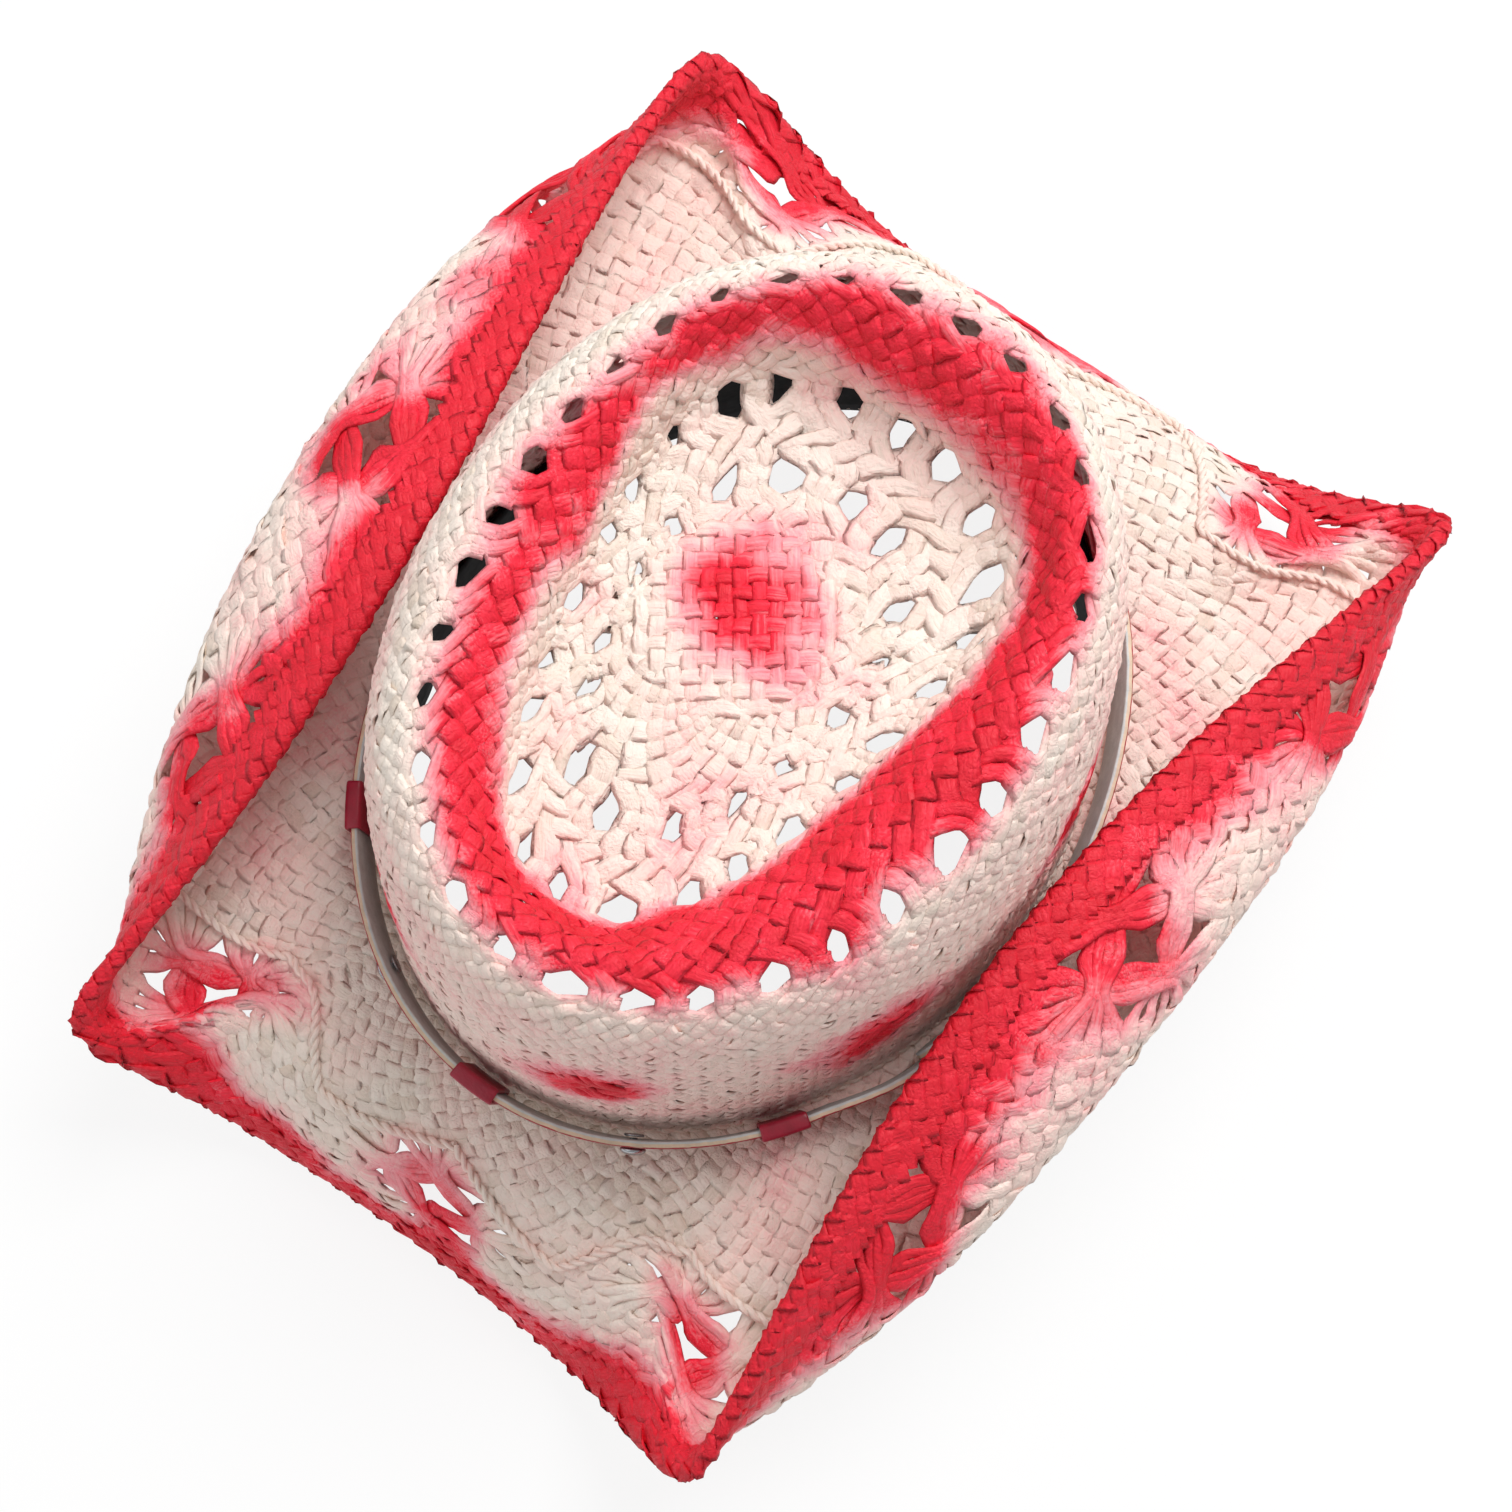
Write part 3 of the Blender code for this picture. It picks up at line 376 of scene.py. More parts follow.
def oval(angle, grow):
    """Points on the foot's oval, grown by a width, and their ways out."""
    across, along = (HALF_WIDTH + grow) * np.cos(angle), (HALF_LENGTH + grow) * np.sin(angle)
    outward = np.stack([np.cos(angle) / HALF_WIDTH, np.sin(angle) / HALF_LENGTH, 0 * angle], axis=-1)
    return np.stack([across, along, 0 * angle], axis=-1), unit(outward)


def brim_paths():
    """Profiles of the brim from foot to edge at even angles from the front."""
    half = np.linspace(-math.pi / 2, math.pi / 2, BRIM_COLUMNS // 2 + 1)
    right = [brim_edge(a, *RIGHT_ROLL) for a in half]
    left = [brim_edge(a, *LEFT_ROLL) for a in half[-2:0:-1]]
    rows = np.concatenate([right, left * np.array([-1, 1, 1, -1, 1, 1, 1, 1])])
    edge, facing, rest = soften(rows[:, :3], 3.2), unit(soften(rows[:, 3:5], 9)), soften(rows[:, 5:], 3.5)
    lip, near, far = rest[:, :1], rest[:, 1:2], rest[:, 2:]
    angle = np.linspace(-math.pi / 2, 1.5 * math.pi, len(rows) + 1)[:-1]
    foot, outward = oval(angle, -HALF_STRAW)
    ending = np.concatenate([np.cos(lip) * facing, np.sin(lip)], axis=-1)
    p0, p1, p2, p3 = (p[:, None] for p in (foot, foot + near * outward, edge - far * ending, edge))
    t = np.linspace(0, 1, 97)[None, :, None]
    return (1 - t) ** 3 * p0 + 3 * (1 - t) ** 2 * t * p1 + 3 * (1 - t) * t**2 * p2 + t**3 * p3 + FOOT


def brim_sheet():
    """Brim with turn 0 at the front, evenly spaced; share 0 is the foot and 1 the start of the hem's flap.

    Also the hem's fold: its start, corner, way out and normal at each column.
    """
    path = brim_paths()
    closed = np.concatenate([path, path[:1]])
    turn = np.arange(BRIM_COLUMNS) / BRIM_COLUMNS
    even = np.interp(turn, even_turn(closed[:, BRIM_MIDDLE_STEP]), np.arange(BRIM_COLUMNS + 1))
    start = even.astype(int)
    path = mix(closed[start], closed[np.minimum(start + 1, BRIM_COLUMNS)], (even - start)[:, None, None])
    run = np.cumsum(np.linalg.norm(np.diff(path, axis=1), axis=2), axis=1)
    run = np.concatenate([np.zeros((len(path), 1)), run], axis=1)
    fold = run[:, -1] - HEM_NOSE
    reach = fold - HEM_FLAP
    share = np.linspace(0, BRIM_TOP, BRIM_STEPS)
    points = np.empty((len(path), len(share), 3))
    folds = np.empty((len(path), 3, 3))
    for k, row in enumerate(path):
        for axis in range(3):
            points[k, :, axis] = np.interp(share * reach[k], run[k], row[:, axis])
            folds[k, :, axis] = np.interp((reach[k], fold[k], run[k, -1]), run[k], row[:, axis])
    sheet = Sheet(points, BRIM_TOP)
    sheet.normals = -sheet.normals
    sheet.reach = reach
    sheet.folds = folds
    return sheet


class HemSheet(Sheet):
    """Skin of the hem: share 0 at the flap's upper start, over the fold, 1 at its lower start."""

    def __init__(self, brim):
        start, fold, end = (brim.folds[:, k] for k in range(3))
        out = unit(end - fold)
        turn = np.arange(len(start)) / len(start)
        side = brim.normal(turn, np.full(len(start), 1.0))
        side = unit(side - out * (side * out).sum(axis=-1, keepdims=True))
        low, cover, nose = 0.9 * MM, 1.55 * MM, HEM_NOSE - 0.95 * MM
        straight = HEM_FLAP + nose - cover
        total = 2 * straight + math.pi * cover
        rows = []
        for share in np.linspace(0, 1, 61):
            along = share * total
            from_edge = min(along, total - along)
            way = 1 if share <= 0.5 else -1
            if from_edge < HEM_FLAP:
                base = mix(start, fold, from_edge / HEM_FLAP)
                rows.append(base + way * side * mix(low, cover, ease(from_edge / HEM_FLAP)))
            elif from_edge < straight:
                rows.append(fold + out * (from_edge - HEM_FLAP) + way * side * cover)
            else:
                spin = (along - straight) / cover
                centre = fold + out * (nose - cover)
                rows.append(centre + cover * (side * math.cos(spin) + out * math.sin(spin)))
        super().__init__(np.stack(rows, axis=1), 1.0)
        self.normals = -self.normals


CROWN = crown_sheet()
BRIM = brim_sheet()
HEM = HemSheet(BRIM)


def ring_level(turn, ring):
    """Level of a ring of holes; the outer ring sits higher at the back and on the left."""
    if ring > 0:
        return RING_LEVELS[ring]
    lean = RING_LEAN * np.cos(TAU * (turn - RING_LEAN_TURN))
    return RING_LEVELS[0] - RING_TILT * np.cos(TAU * turn) + lean


def gather_flowers(strand, row, way, count, half, middles, middle_rows, knot, tuft):
    """Draw strands into openwork flowers: two bundles each way, tightest in the four knots where they cross.

    Gives the new turn, new row, share inside and over or under.
    """
    bundle = FLOWER_BUNDLE
    marks, widths = (0, bundle - 0.08, bundle + 0.08, 0.75, 1), (tuft, knot, knot, 0.66, 1)
    shift, inside, cross = (np.zeros(row.shape) for _ in range(3))
    for middle, middle_row in zip(middles, middle_rows):
        own = ((strand - middle + way * middle_row / 2 + count / 2) % count - count / 2) / half
        other = own + way * (row - middle_row) / half
        hit = np.abs(own) < 1
        spread = np.interp(np.abs(other), marks, widths)
        middle_own = mix(0.5, bundle, np.clip((1 - np.abs(other)) / 0.4, 0, 1))
        moved = hit * (np.sign(own) * (middle_own + spread * (np.abs(own) - 0.5)) - own)
        shift += moved
        inside += hit * ease((1 - np.abs(other)) / 0.2)
        cross += hit * np.cos(math.pi * way * (other - own - moved) / 2 / bundle)
    return (strand + way * row / 2 + half * shift / 2) / count, row - way * half * shift, inside, cross


def gather_ring(turn, row, way, strand, count, ring_row, holes, gather, reach):
    """Draw strands together between the holes of a ring at a given row, some more than others."""
    at_ring = (strand + way * ring_row / 2) / count
    bundle = np.floor(at_ring * holes)
    centre = (bundle + 0.5) / holes
    uneven = np.random.default_rng(holes).uniform(-1, 1, (3, holes))[:, bundle.astype(int) % holes]
    inward = np.where(ring_row > 0, ring_row - row, row)
    pull = ease(1 - (inward - 0.3) / (reach * (1 + 0.3 * uneven[0])))
    drawn = centre + 0.09 * uneven[1] / holes + gather * (1 + 0.25 * uneven[2]) * (at_ring - centre)
    return mix(turn, drawn, pull)


def lay(sheet, turn, share, height, seed, straw, crumple=1.0, snug=1.14):
    """Strands on a sheet as centres, sides and thickness ways, wide enough to touch their neighbours."""
    rng = np.random.default_rng(seed)
    strands, samples = turn.shape
    knots = max(3, samples // 3)
    normal = sheet.normal(turn, share)
    flat = sheet.point(turn, share)
    rough = crumple * wander(rng, strands, samples, knots)
    point = flat + normal * (height + ROUGH * rough)[..., None]
    ahead = unit(np.gradient(point, axis=1))
    side = unit(np.cross(normal, ahead))
    gap = np.linalg.norm(np.cross(np.roll(flat, -1, axis=0) - flat, ahead), axis=-1)
    width = np.minimum(gap, np.roll(gap, 1, axis=0)) * snug
    swell = 1 + SWELL * crumple * wander(rng, strands, samples, knots)
    width = np.clip(width, straw.narrow, straw.wide) * swell
    point = point + side * (SWAY * crumple * wander(rng, strands, samples, knots))[..., None]
    thick = straw.thickness * np.clip(np.sqrt(USUAL_WIDTH / width), 0.85, 1.25)
    roll = (ROLL * crumple * wander(rng, strands, samples, knots))[..., None]
    out = np.cross(ahead, side)
    side, out = side * np.cos(roll) + out * np.sin(roll), out * np.cos(roll) - side * np.sin(roll)
    step = np.linalg.norm(np.diff(point, axis=1), axis=-1)
    along = np.concatenate([np.zeros((strands, 1)), np.cumsum(step, axis=1)], axis=1)
    tone = rng.uniform(0, 1, (strands, 1)) + TONE * wander(rng, strands, samples, knots)
    return {
        "centre": point,
        "side": side * width[..., None] / 2,
        "out": out * thick[..., None] / 2,
        "along": along + rng.uniform(0, 1, (strands, 1)),
        "breadth": width / 2,
        "tone": tone,
    }


def spray(sheet, group, turn, share, dye_at):
    """Dye along the middle of each strand and how it changes towards its side."""
    side = group["side"]
    spot = sheet.point(turn, share)
    round_way = (sheet.point(turn + 2e-4, share) - spot) / 2e-4
    rise = (spot - sheet.point(turn, share - 2e-3)) / 2e-3
    a, b, c = ((p * q).sum(axis=-1) for p, q in ((round_way, round_way), (round_way, rise), (rise, rise)))
    d, e = (side * round_way).sum(axis=-1), (side * rise).sum(axis=-1)
    area = np.maximum(a * c - b * b, 1e-9)
    turn_step = np.clip((d * c - e * b) / area, -0.02, 0.02)
    share_step = np.clip((e * a - d * b) / area, -0.5, 0.5)
    near = dye_at(group["centre"] + side, turn + turn_step, share + share_step)
    far = dye_at(group["centre"] - side, turn - turn_step, share - share_step)
    group["dye"] = (near + far) / 2
    group["lean"] = (near - far) / 2
    return group


def add_node(tree, kind, inputs=None, **settings):
    """Add a node with its settings; inputs holds values and sockets to link."""
    made = tree.nodes.new(kind)
    for key, value in settings.items():
        setattr(made, key, value)
    for key, value in (inputs or {}).items():
        if isinstance(value, bpy.types.NodeSocket):
            tree.links.new(value, made.inputs[key])
        else:
            made.inputs[key].default_value = value
    return made


def ribbon_tree():
    """Geometry nodes that sweep a flattened straw section along polylines that carry their own frames."""
    tree = bpy.data.node_groups.new("Straw Ribbon", "GeometryNodeTree")
    sockets = {"Strands": "Geometry", "Sides": "Int", "Plumpness": "Float", "Finish": "Material"}
    for name, kind in sockets.items():
        tree.interface.new_socket(name, in_out="INPUT", socket_type="NodeSocket" + kind)
    tree.interface.new_socket("Ribbons", in_out="OUTPUT", socket_type="NodeSocketGeometry")
    given = add_node(tree, "NodeGroupInput").outputs
    ring = add_node(tree, "GeometryNodeCurvePrimitiveCircle", {"Resolution": given["Sides"], "Radius": 1.0})
    place = add_node(tree, "GeometryNodeInputPosition").outputs[0]
    section = add_node(
        tree,
        "GeometryNodeStoreNamedAttribute",
        {"Geometry": ring.outputs[0], "Name": "section", "Value": place},
        data_type="FLOAT_VECTOR",
        domain="POINT",
    )
    paths = add_node(tree, "GeometryNodeMeshToCurve", {"Mesh": given["Strands"]})
    tubes = add_node(
        tree,
        "GeometryNodeCurveToMesh",
        {"Curve": paths.outputs[0], "Profile Curve": section.outputs[0], "Fill Caps": True},
    )
    centre, side, out, shape = (
        add_node(tree, "GeometryNodeInputNamedAttribute", {"Name": name}, data_type="FLOAT_VECTOR").outputs[0]
        for name in ("centre", "side", "out", "section")
    )
    parts = add_node(tree, "ShaderNodeSeparateXYZ", {0: shape}).outputs
    across = vectors(tree, "SCALE", side, Scale=parts[0])
    above = vectors(tree, "SCALE", out, Scale=sums(tree, "MULTIPLY", parts[1], given["Plumpness"]))
    spot = vectors(tree, "ADD", centre, vectors(tree, "ADD", across, above))
    moved = add_node(tree, "GeometryNodeSetPosition", {"Geometry": tubes.outputs[0], "Position": spot})
    smooth = add_node(tree, "GeometryNodeSetShadeSmooth", {"Geometry": moved.outputs[0]})
    real = add_node(tree, "GeometryNodeRealizeInstances", {"Geometry": smooth.outputs[0]})
    dressed = {"Geometry": real.outputs[0], "Material": given["Finish"]}
    done = add_node(tree, "GeometryNodeSetMaterial", dressed)
    add_node(tree, "NodeGroupOutput", {0: done.outputs[0]})
    return tree


def added(name, data):
    """New object in the scene."""
    item = bpy.data.objects.new(name, data)
    bpy.context.scene.collection.objects.link(item)
    return item


def store(mesh, name, values):
    """Store a number or vector for each point of a mesh."""
    values = np.asarray(values, np.float32)
    kind, field = ("FLOAT_VECTOR", "vector") if values.shape[1:] == (3,) else ("FLOAT", "value")
    mesh.attributes.new(name, kind, "POINT").data.foreach_set(field, values.ravel())


def ribbons(name, groups, finish, sides=6, plumpness=1.0):
    """One piece from groups of strands, swept by the ribbon tree and kept clear of the floor."""
    points, edges, values = [], [], {}
    for group in groups:
        strands, samples = group["centre"].shape[:2]
        first = sum(len(p) for p in points)
        index = first + np.arange(strands * samples).reshape(strands, samples)
        edges.append(np.stack([index[:, :-1].ravel(), index[:, 1:].ravel()], axis=1))
        points.append(group["centre"].reshape(-1, 3))
        for key, value in group.items():
            values.setdefault(key, []).append(value.reshape(strands * samples, -1))
    mesh = bpy.data.meshes.new(name)
    mesh.from_pydata(np.concatenate(points).tolist(), np.concatenate(edges).tolist(), [])
    for key, value in values.items():
        store(mesh, key, np.concatenate(value))
    item = added(name + "_paths", mesh)
    tree = bpy.data.node_groups.get("Straw Ribbon") or ribbon_tree()
    work = item.modifiers.new("Ribbon", "NODES")
    work.node_group = tree
    named = {s.name: s.identifier for s in tree.interface.items_tree if s.in_out == "INPUT"}
    work[named["Sides"]] = sides
    work[named["Plumpness"]] = plumpness
    work[named["Finish"]] = finish
    held = item.evaluated_get(bpy.context.evaluated_depsgraph_get())
    made = bpy.data.meshes.new_from_object(held)
    item.modifiers.remove(work)
    bpy.data.objects.remove(item)
    made.name = name
    for key in ("centre", "side", "out"):
        made.attributes.remove(made.attributes[key])
    spots = np.empty(len(made.vertices) * 3, np.float32)
    made.vertices.foreach_get("co", spots)
    spots[2::3] = np.maximum(spots[2::3], 0)
    made.vertices.foreach_set("co", spots)
    made.update()
    return added(name, made)


def settle(piece, body, slot, *nodes):
    """Hang a finished piece on its body and let it stand for solids."""
    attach(piece, body)
    if nodes:
        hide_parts(*nodes)
    return piece


def surface(name):
    """New material with its tree, its shader and its Object coordinates."""
    made = bpy.data.materials.get(name)
    if made:
        return made, None, None, None
    made = bpy.data.materials.new(name)
    made.use_nodes = True
    tree = made.node_tree
    return made, tree, tree.nodes["Principled BSDF"], add_node(tree, "ShaderNodeTexCoord").outputs["Object"]


def sums(tree, operation, *values, **settings):
    """Result of one step of arithmetic on numbers and sockets."""
    inputs = dict(enumerate(values))
    return add_node(tree, "ShaderNodeMath", inputs, operation=operation, **settings).outputs[0]


def vectors(tree, operation, *values, **inputs):
    """Result of one step of arithmetic on vectors."""
    inputs = {**dict(enumerate(values)), **inputs}
    return add_node(tree, "ShaderNodeVectorMath", inputs, operation=operation).outputs[0]


def ranged(tree, value, *limits):
    """Value carried from one range to another: from low, from high, to low, to high."""
    return add_node(tree, "ShaderNodeMapRange", dict(enumerate((value, *limits)))).outputs[0]


def noise(tree, place, size, detail, **inputs):
    """Noise in blotches of a given size."""
    inputs = {"Vector": place, "Scale": 1 / size, "Detail": detail, **inputs}
    return add_node(tree, "ShaderNodeTexNoise", inputs).outputs["Fac"]


def pebbles(tree, place, size):
    """Grain of leather in pebbles of a given size."""
    return add_node(tree, "ShaderNodeTexVoronoi", {"Vector": place, "Scale": 1 / size}).outputs["Distance"]


def blended(tree, share, first, second, way="MIX"):
    """Blend of two colours."""
    inputs = {"Factor": share, "A": first, "B": second}
    return add_node(tree, "ShaderNodeMix", inputs, data_type="RGBA", blend_type=way).outputs["Result"]


def ramped(tree, value, stops, interpolation="LINEAR"):
    """Colour read from stops of place and colour."""
    made = add_node(tree, "ShaderNodeValToRGB", {"Fac": value})
    made.color_ramp.interpolation = interpolation
    ramp = made.color_ramp.elements
    for end, (spot, tint) in zip((ramp[0], ramp[1]), (stops[0], stops[-1])):
        end.position = spot
        end.color = (*tint, 1)
    for spot, tint in stops[1:-1]:
        ramp.new(spot).color = (*tint, 1)
    return made.outputs["Color"]


def bumped(tree, height, strength, distance, **inputs):
    """Normal of a bumpy skin."""
    inputs = {"Height": height, "Strength": strength, "Distance": distance, **inputs}
    return add_node(tree, "ShaderNodeBump", inputs).outputs[0]


def dress(tree, shader, paint, roughness, normal):
    """Give a shader its colour, roughness and bumps."""
    for name, socket in (("Base Color", paint), ("Roughness", roughness), ("Normal", normal)):
        tree.links.new(socket, shader.inputs[name])


def straw_finish(dye):
    """Crumpled paper raffia: dull, with fine fibres along each strand and dye that soaked in unevenly."""
    made, tree, shader, place = surface("sprayed_paper_raffia")
    if tree is None:
        return made
    coat, lean, tone, along, breadth = (
        add_node(tree, "ShaderNodeAttribute", attribute_name=name).outputs["Fac"]
        for name in ("dye", "lean", "tone", "along", "breadth")
    )
    section = add_node(tree, "ShaderNodeAttribute", attribute_name="section").outputs["Vector"]
    across = add_node(tree, "ShaderNodeSeparateXYZ", {0: section}).outputs[0]
    coat = sums(tree, "MULTIPLY_ADD", across, lean, coat, use_clamp=True)
    # Fibres about 0.6 mm wide and 11 mm long, different on each strand
    wide = sums(tree, "MULTIPLY", sums(tree, "MULTIPLY", across, breadth), 1 / (0.6 * MM))
    run = sums(tree, "MULTIPLY", along, 1 / (11 * MM))
    apart = sums(tree, "MULTIPLY", tone, 50.0)
    fibre_place = add_node(tree, "ShaderNodeCombineXYZ", {0: wide, 1: run, 2: apart}).outputs[0]
    fibre = noise(tree, fibre_place, 1.0, 3.0)
    # Crumples of 2.2 mm and blotches of 6 mm
    crumple = noise(tree, place, 2.2 * MM, 3.0, Distortion=0.6)
    blotch = noise(tree, place, 6 * MM, 4.0)
    uneven = ranged(tree, sums(tree, "ADD", blotch, fibre), 0.6, 1.4, -0.17, 0.17)
    wet = ranged(tree, coat, 0.0, 0.25, 0.15, 1.0)
    soaked = sums(tree, "MULTIPLY_ADD", uneven, wet, coat, use_clamp=True)
    light = ranged(tree, sums(tree, "ADD", fibre, tone), 0.3, 1.1, 0.0, 1.0)
    bare = blended(tree, light, (*dye.shade, 1), (*dye.cream, 1))
    stops = ((0.16, dye.blush), (0.48, dye.pink), (0.8, dye.red), (1.0, dye.deep))
    cover = ranged(tree, soaked, 0.0, 0.16, 0.0, 1.0)
    paint = blended(tree, cover, bare, ramped(tree, soaked, stops))
    low = bumped(tree, crumple, 0.6, 1.1 * MM)
    fine = bumped(tree, fibre, 0.8, 0.45 * MM, Normal=low)
    dress(tree, shader, paint, ranged(tree, fibre, 0.3, 0.7, 0.52, 0.72), fine)
    shader.inputs["IOR"].default_value = 1.48
    return made


def around(values, turn):
    """Values given at even turns, blended between them."""
    return np.interp(np.asarray(turn) % 1 * len(values), np.arange(len(values) + 1), [*values, values[0]])


def flower_share(turn):
    """Share of the brim's width at which the flowers' middles lie."""
    return 1 - (around(FLOWER_GAPS, turn) - HEM_FLAP - HEM_NOSE) / around(BRIM.reach, turn)


def brim_share(turn, row):
    """Share of the brim's width that a row lies at."""
    return row * flower_share(turn) / around(FLOWER_ROWS, turn)


def roll_weight(turn):
    """One on the rolled sides, nothing at front and back."""
    return ease((np.abs(np.sin(TAU * turn)) - 0.45) / 0.4)


def brim_dye(dye, points, turn, share):
    """Sprayed dye on the brim: a band along the edge, a spot in each flower, a little overspray."""
    reach = around(BRIM.reach, turn)
    ragged = 3.5 * MM * cloud(points, 26 * MM, 3) + 1.2 * MM * cloud(points, 7 * MM, 4)
    edge_gap = (1 - share) * reach + HEM_FLAP + HEM_NOSE + ragged
    rolled = roll_weight(turn)
    band = fade(edge_gap, dye.hem - dye.roll * rolled, mix(HEM_BLUR_MM, ROLL_BLUR_MM, rolled) * MM)
    apart = ((np.asarray(turn) * FLOWERS + 0.5) % 1 - 0.5) * BRIM_GIRTH / FLOWERS
    gap = np.hypot(apart, (share - flower_share(turn)) * reach) + ragged
    flower = FLOWER_COAT * fade(gap, dye.flower, FLOWER_BLUR)
    mist = 0.03 + 0.1 * rolled + mix(0.05, 0.09, rolled) * cloud(points, 14 * MM, 5)
    return np.clip(1 - (1 - band) * (1 - flower) + mist, 0, 1)


def crown_dye(dye, points, turn, level):
    """Sprayed dye on the crown: a ring along its rim, spots on the wall and the tip, a little overspray."""
    ragged = 3 * MM * cloud(points, 24 * MM, 6) + 1.2 * MM * cloud(points, 7 * MM, 7)
    outer = ring_level(turn, 0)
    inner = 6.7 + 0.45 * np.cos(TAU * (turn - 0.2)) * ease(np.cos(TAU * turn) + 0.2)
    rim = ease((level - outer + 0.65 + 60 * ragged) / 1.3) * ease((inner - level + 45 * ragged) / 0.9)
    local = points - FOOT
    tip_gap = np.hypot(local[..., 0] - TIP_SPOT[0], local[..., 1] - TIP_SPOT[1]) + 2 * ragged
    tip = TIP_COAT * fade(tip_gap, 0, TIP_BLUR) * (level > 7)
    apart = (np.asarray(turn) - WALL_SPOT) * WALL_FLOWERS
    apart = ((apart + 0.5) % 1 - 0.5) * CROWN_GIRTH / WALL_FLOWERS
    wall_gap = np.hypot(0.8 * apart, local[..., 2] - WALL_SPOT_HEIGHT) + 1.5 * ragged
    wall = WALL_COAT * fade(wall_gap, 0, WALL_BLUR) * (level < 4)
    blush = 0.2 * ease(cloud(points, 17 * MM, 8) - 0.1) * ease((level - 6.2) / 0.8)
    mist = 0.04 + 0.05 * cloud(points, 22 * MM, 9) + 0.13 * (level < 3.5)
    rim = (RIM_COAT + 0.09 * cloud(points, 6 * MM, 10)) * rim
    return np.clip(np.maximum(np.maximum(rim, tip), wall) + blush + mist, 0, 1)


def brim_strands(hat, way):
    """Strands of the brim that lean one way, drawn into its twelve flowers and cut off under the hem."""
    strand = np.arange(BRIM_STRANDS)[:, None]
    last = np.full(strand.shape, 31.0)
    for _ in range(4):
        last = 1.05 / brim_share((strand + way * last / 2) / BRIM_STRANDS, 1.0)
    row = mix(-0.4, last, np.linspace(0, 1, int(32 * SAMPLES))[None])
    middles = np.arange(FLOWERS) * BRIM_STRANDS / FLOWERS
    plain = np.cos(math.pi * row)
    turn, row, inside, cross = gather_flowers(
        strand, row, way, BRIM_STRANDS, FLOWER_HALF, middles, FLOWER_ROWS, hat.straw.knot, hat.straw.tuft
    )
    height = -way * hat.straw.depth * mix(0.82 * plain, 1.3 * cross, inside)
    share = brim_share(turn, row)
    group = lay(BRIM, turn, share, height, BRIM_SEED + way, hat.straw, 0.7, 1.3)
    return spray(BRIM, group, turn, share, lambda *spot: brim_dye(hat.dye, *spot))


def hem_strands(hat, way):
    """Strands that fold over the brim's edge."""
    rows = np.linspace(0, HEM_ROWS, HEM_ROWS * SAMPLES + 1)
    strand = np.arange(HEM_STRANDS)[:, None]
    turn = (strand + way * (rows - HEM_ROWS / 2) / 2) / HEM_STRANDS
    share = rows[None] / HEM_ROWS + 0 * strand
    height = way * 0.42 * hat.straw.depth * np.cos(math.pi * rows)[None] + 0 * share
    group = lay(HEM, turn, share, height, HEM_SEED + way, hat.straw, 0.5, 1.35)
    group["dye"] = brim_dye(hat.dye, group["centre"], turn, 1.0 + 0.12 * (0.5 - np.abs(share - 0.5)))
    group["lean"] = 0 * share
    return group


def crown_rows(count, low, high):
    """Levels from low to high, with rows as tall as half a strand spacing."""
    levels = np.linspace(low, high, 200)
    turn = np.arange(72) / 72
    spots = CROWN.point(turn[:, None], levels[None])
    steps = np.linalg.norm(np.diff(spots, axis=1), axis=-1).mean(axis=0)
    girth = np.linalg.norm(np.roll(spots, -1, axis=0) - spots, axis=-1).sum(axis=0)
    rows = np.concatenate([[0], np.cumsum(2 * count * steps / (girth[1:] + girth[:-1]) * 2)])
    whole = 2 * max(2, round(rows[-1] / 2))
    return levels, rows * whole / rows[-1], whole


def crown_strands(hat, zone, way):
    """Strands of one zone of the crown that lean one way, drawn together at the rings of holes."""
    straw, count = hat.straw, CROWN_STRANDS[zone]
    low = 0.0 if zone == 0 else RING_LEVELS[zone - 1]
    high = CROWN_TOP_LEVEL if zone == len(RING_LEVELS) else RING_LEVELS[zone]
    levels, table, whole = crown_rows(count, low, high)
    before = 0.3 if zone == 0 else RING_OVERLAP
    rows = np.linspace(-before, whole + RING_OVERLAP, int((whole + RING_OVERLAP + before) * SAMPLES) + 1)
    strand = np.arange(count)[:, None]
    row = rows[None] + 0 * strand
    plain = np.cos(math.pi * rows)[None]
    depth = straw.depth * ZONE_DEPTH[zone]
    height = way * depth * plain + 0 * row
    if zone == 0:
        middles = (WALL_SPOT + np.arange(WALL_FLOWERS) / WALL_FLOWERS) * count
        turn, row, inside, cross = gather_flowers(
            strand, row, way, count, WALL_FLOWER_HALF, middles, [WALL_FLOWER_ROW] * WALL_FLOWERS, 0.5, 0.5
        )
        height = way * depth * mix(plain, 1.2 * cross, inside)
    else:
        turn = (strand + way * row / 2) / count
        turn = gather_ring(turn, row, way, strand, count, 0, RING_HOLES[zone - 1], straw.ring, RING_REACH)
    if zone < len(RING_LEVELS):
        turn = gather_ring(turn, row, way, strand, count, whole, RING_HOLES[zone], straw.ring, RING_REACH)
    level = np.interp(row, table, levels)
    past = np.clip(row - whole, 0, None) + np.clip(-row, 0, None) * (zone > 0)
    level = level + np.where(row > whole, 1, -1) * past * (levels[-1] - levels[0]) / whole
    if zone == 0:
        level = level * ring_level(turn, 0) / RING_LEVELS[0]
    elif zone == 1:
        lift = ring_level(turn, 0) - RING_LEVELS[0]
        level = level + lift * np.clip((high - level) / (high - low), 0, None)
    height = height - 0.5 * MM * np.clip(past, 0, 1)
    group = lay(CROWN, turn, level, height, CROWN_SEED + 7 * zone + way, straw, 0.7, ZONE_SNUG[zone])
    return spray(CROWN, group, turn, level, lambda *spot: crown_dye(hat.dye, *spot))


def single(group):
    """Group of one strand from values along it."""
    return {key: value[None] for key, value in group.items()}


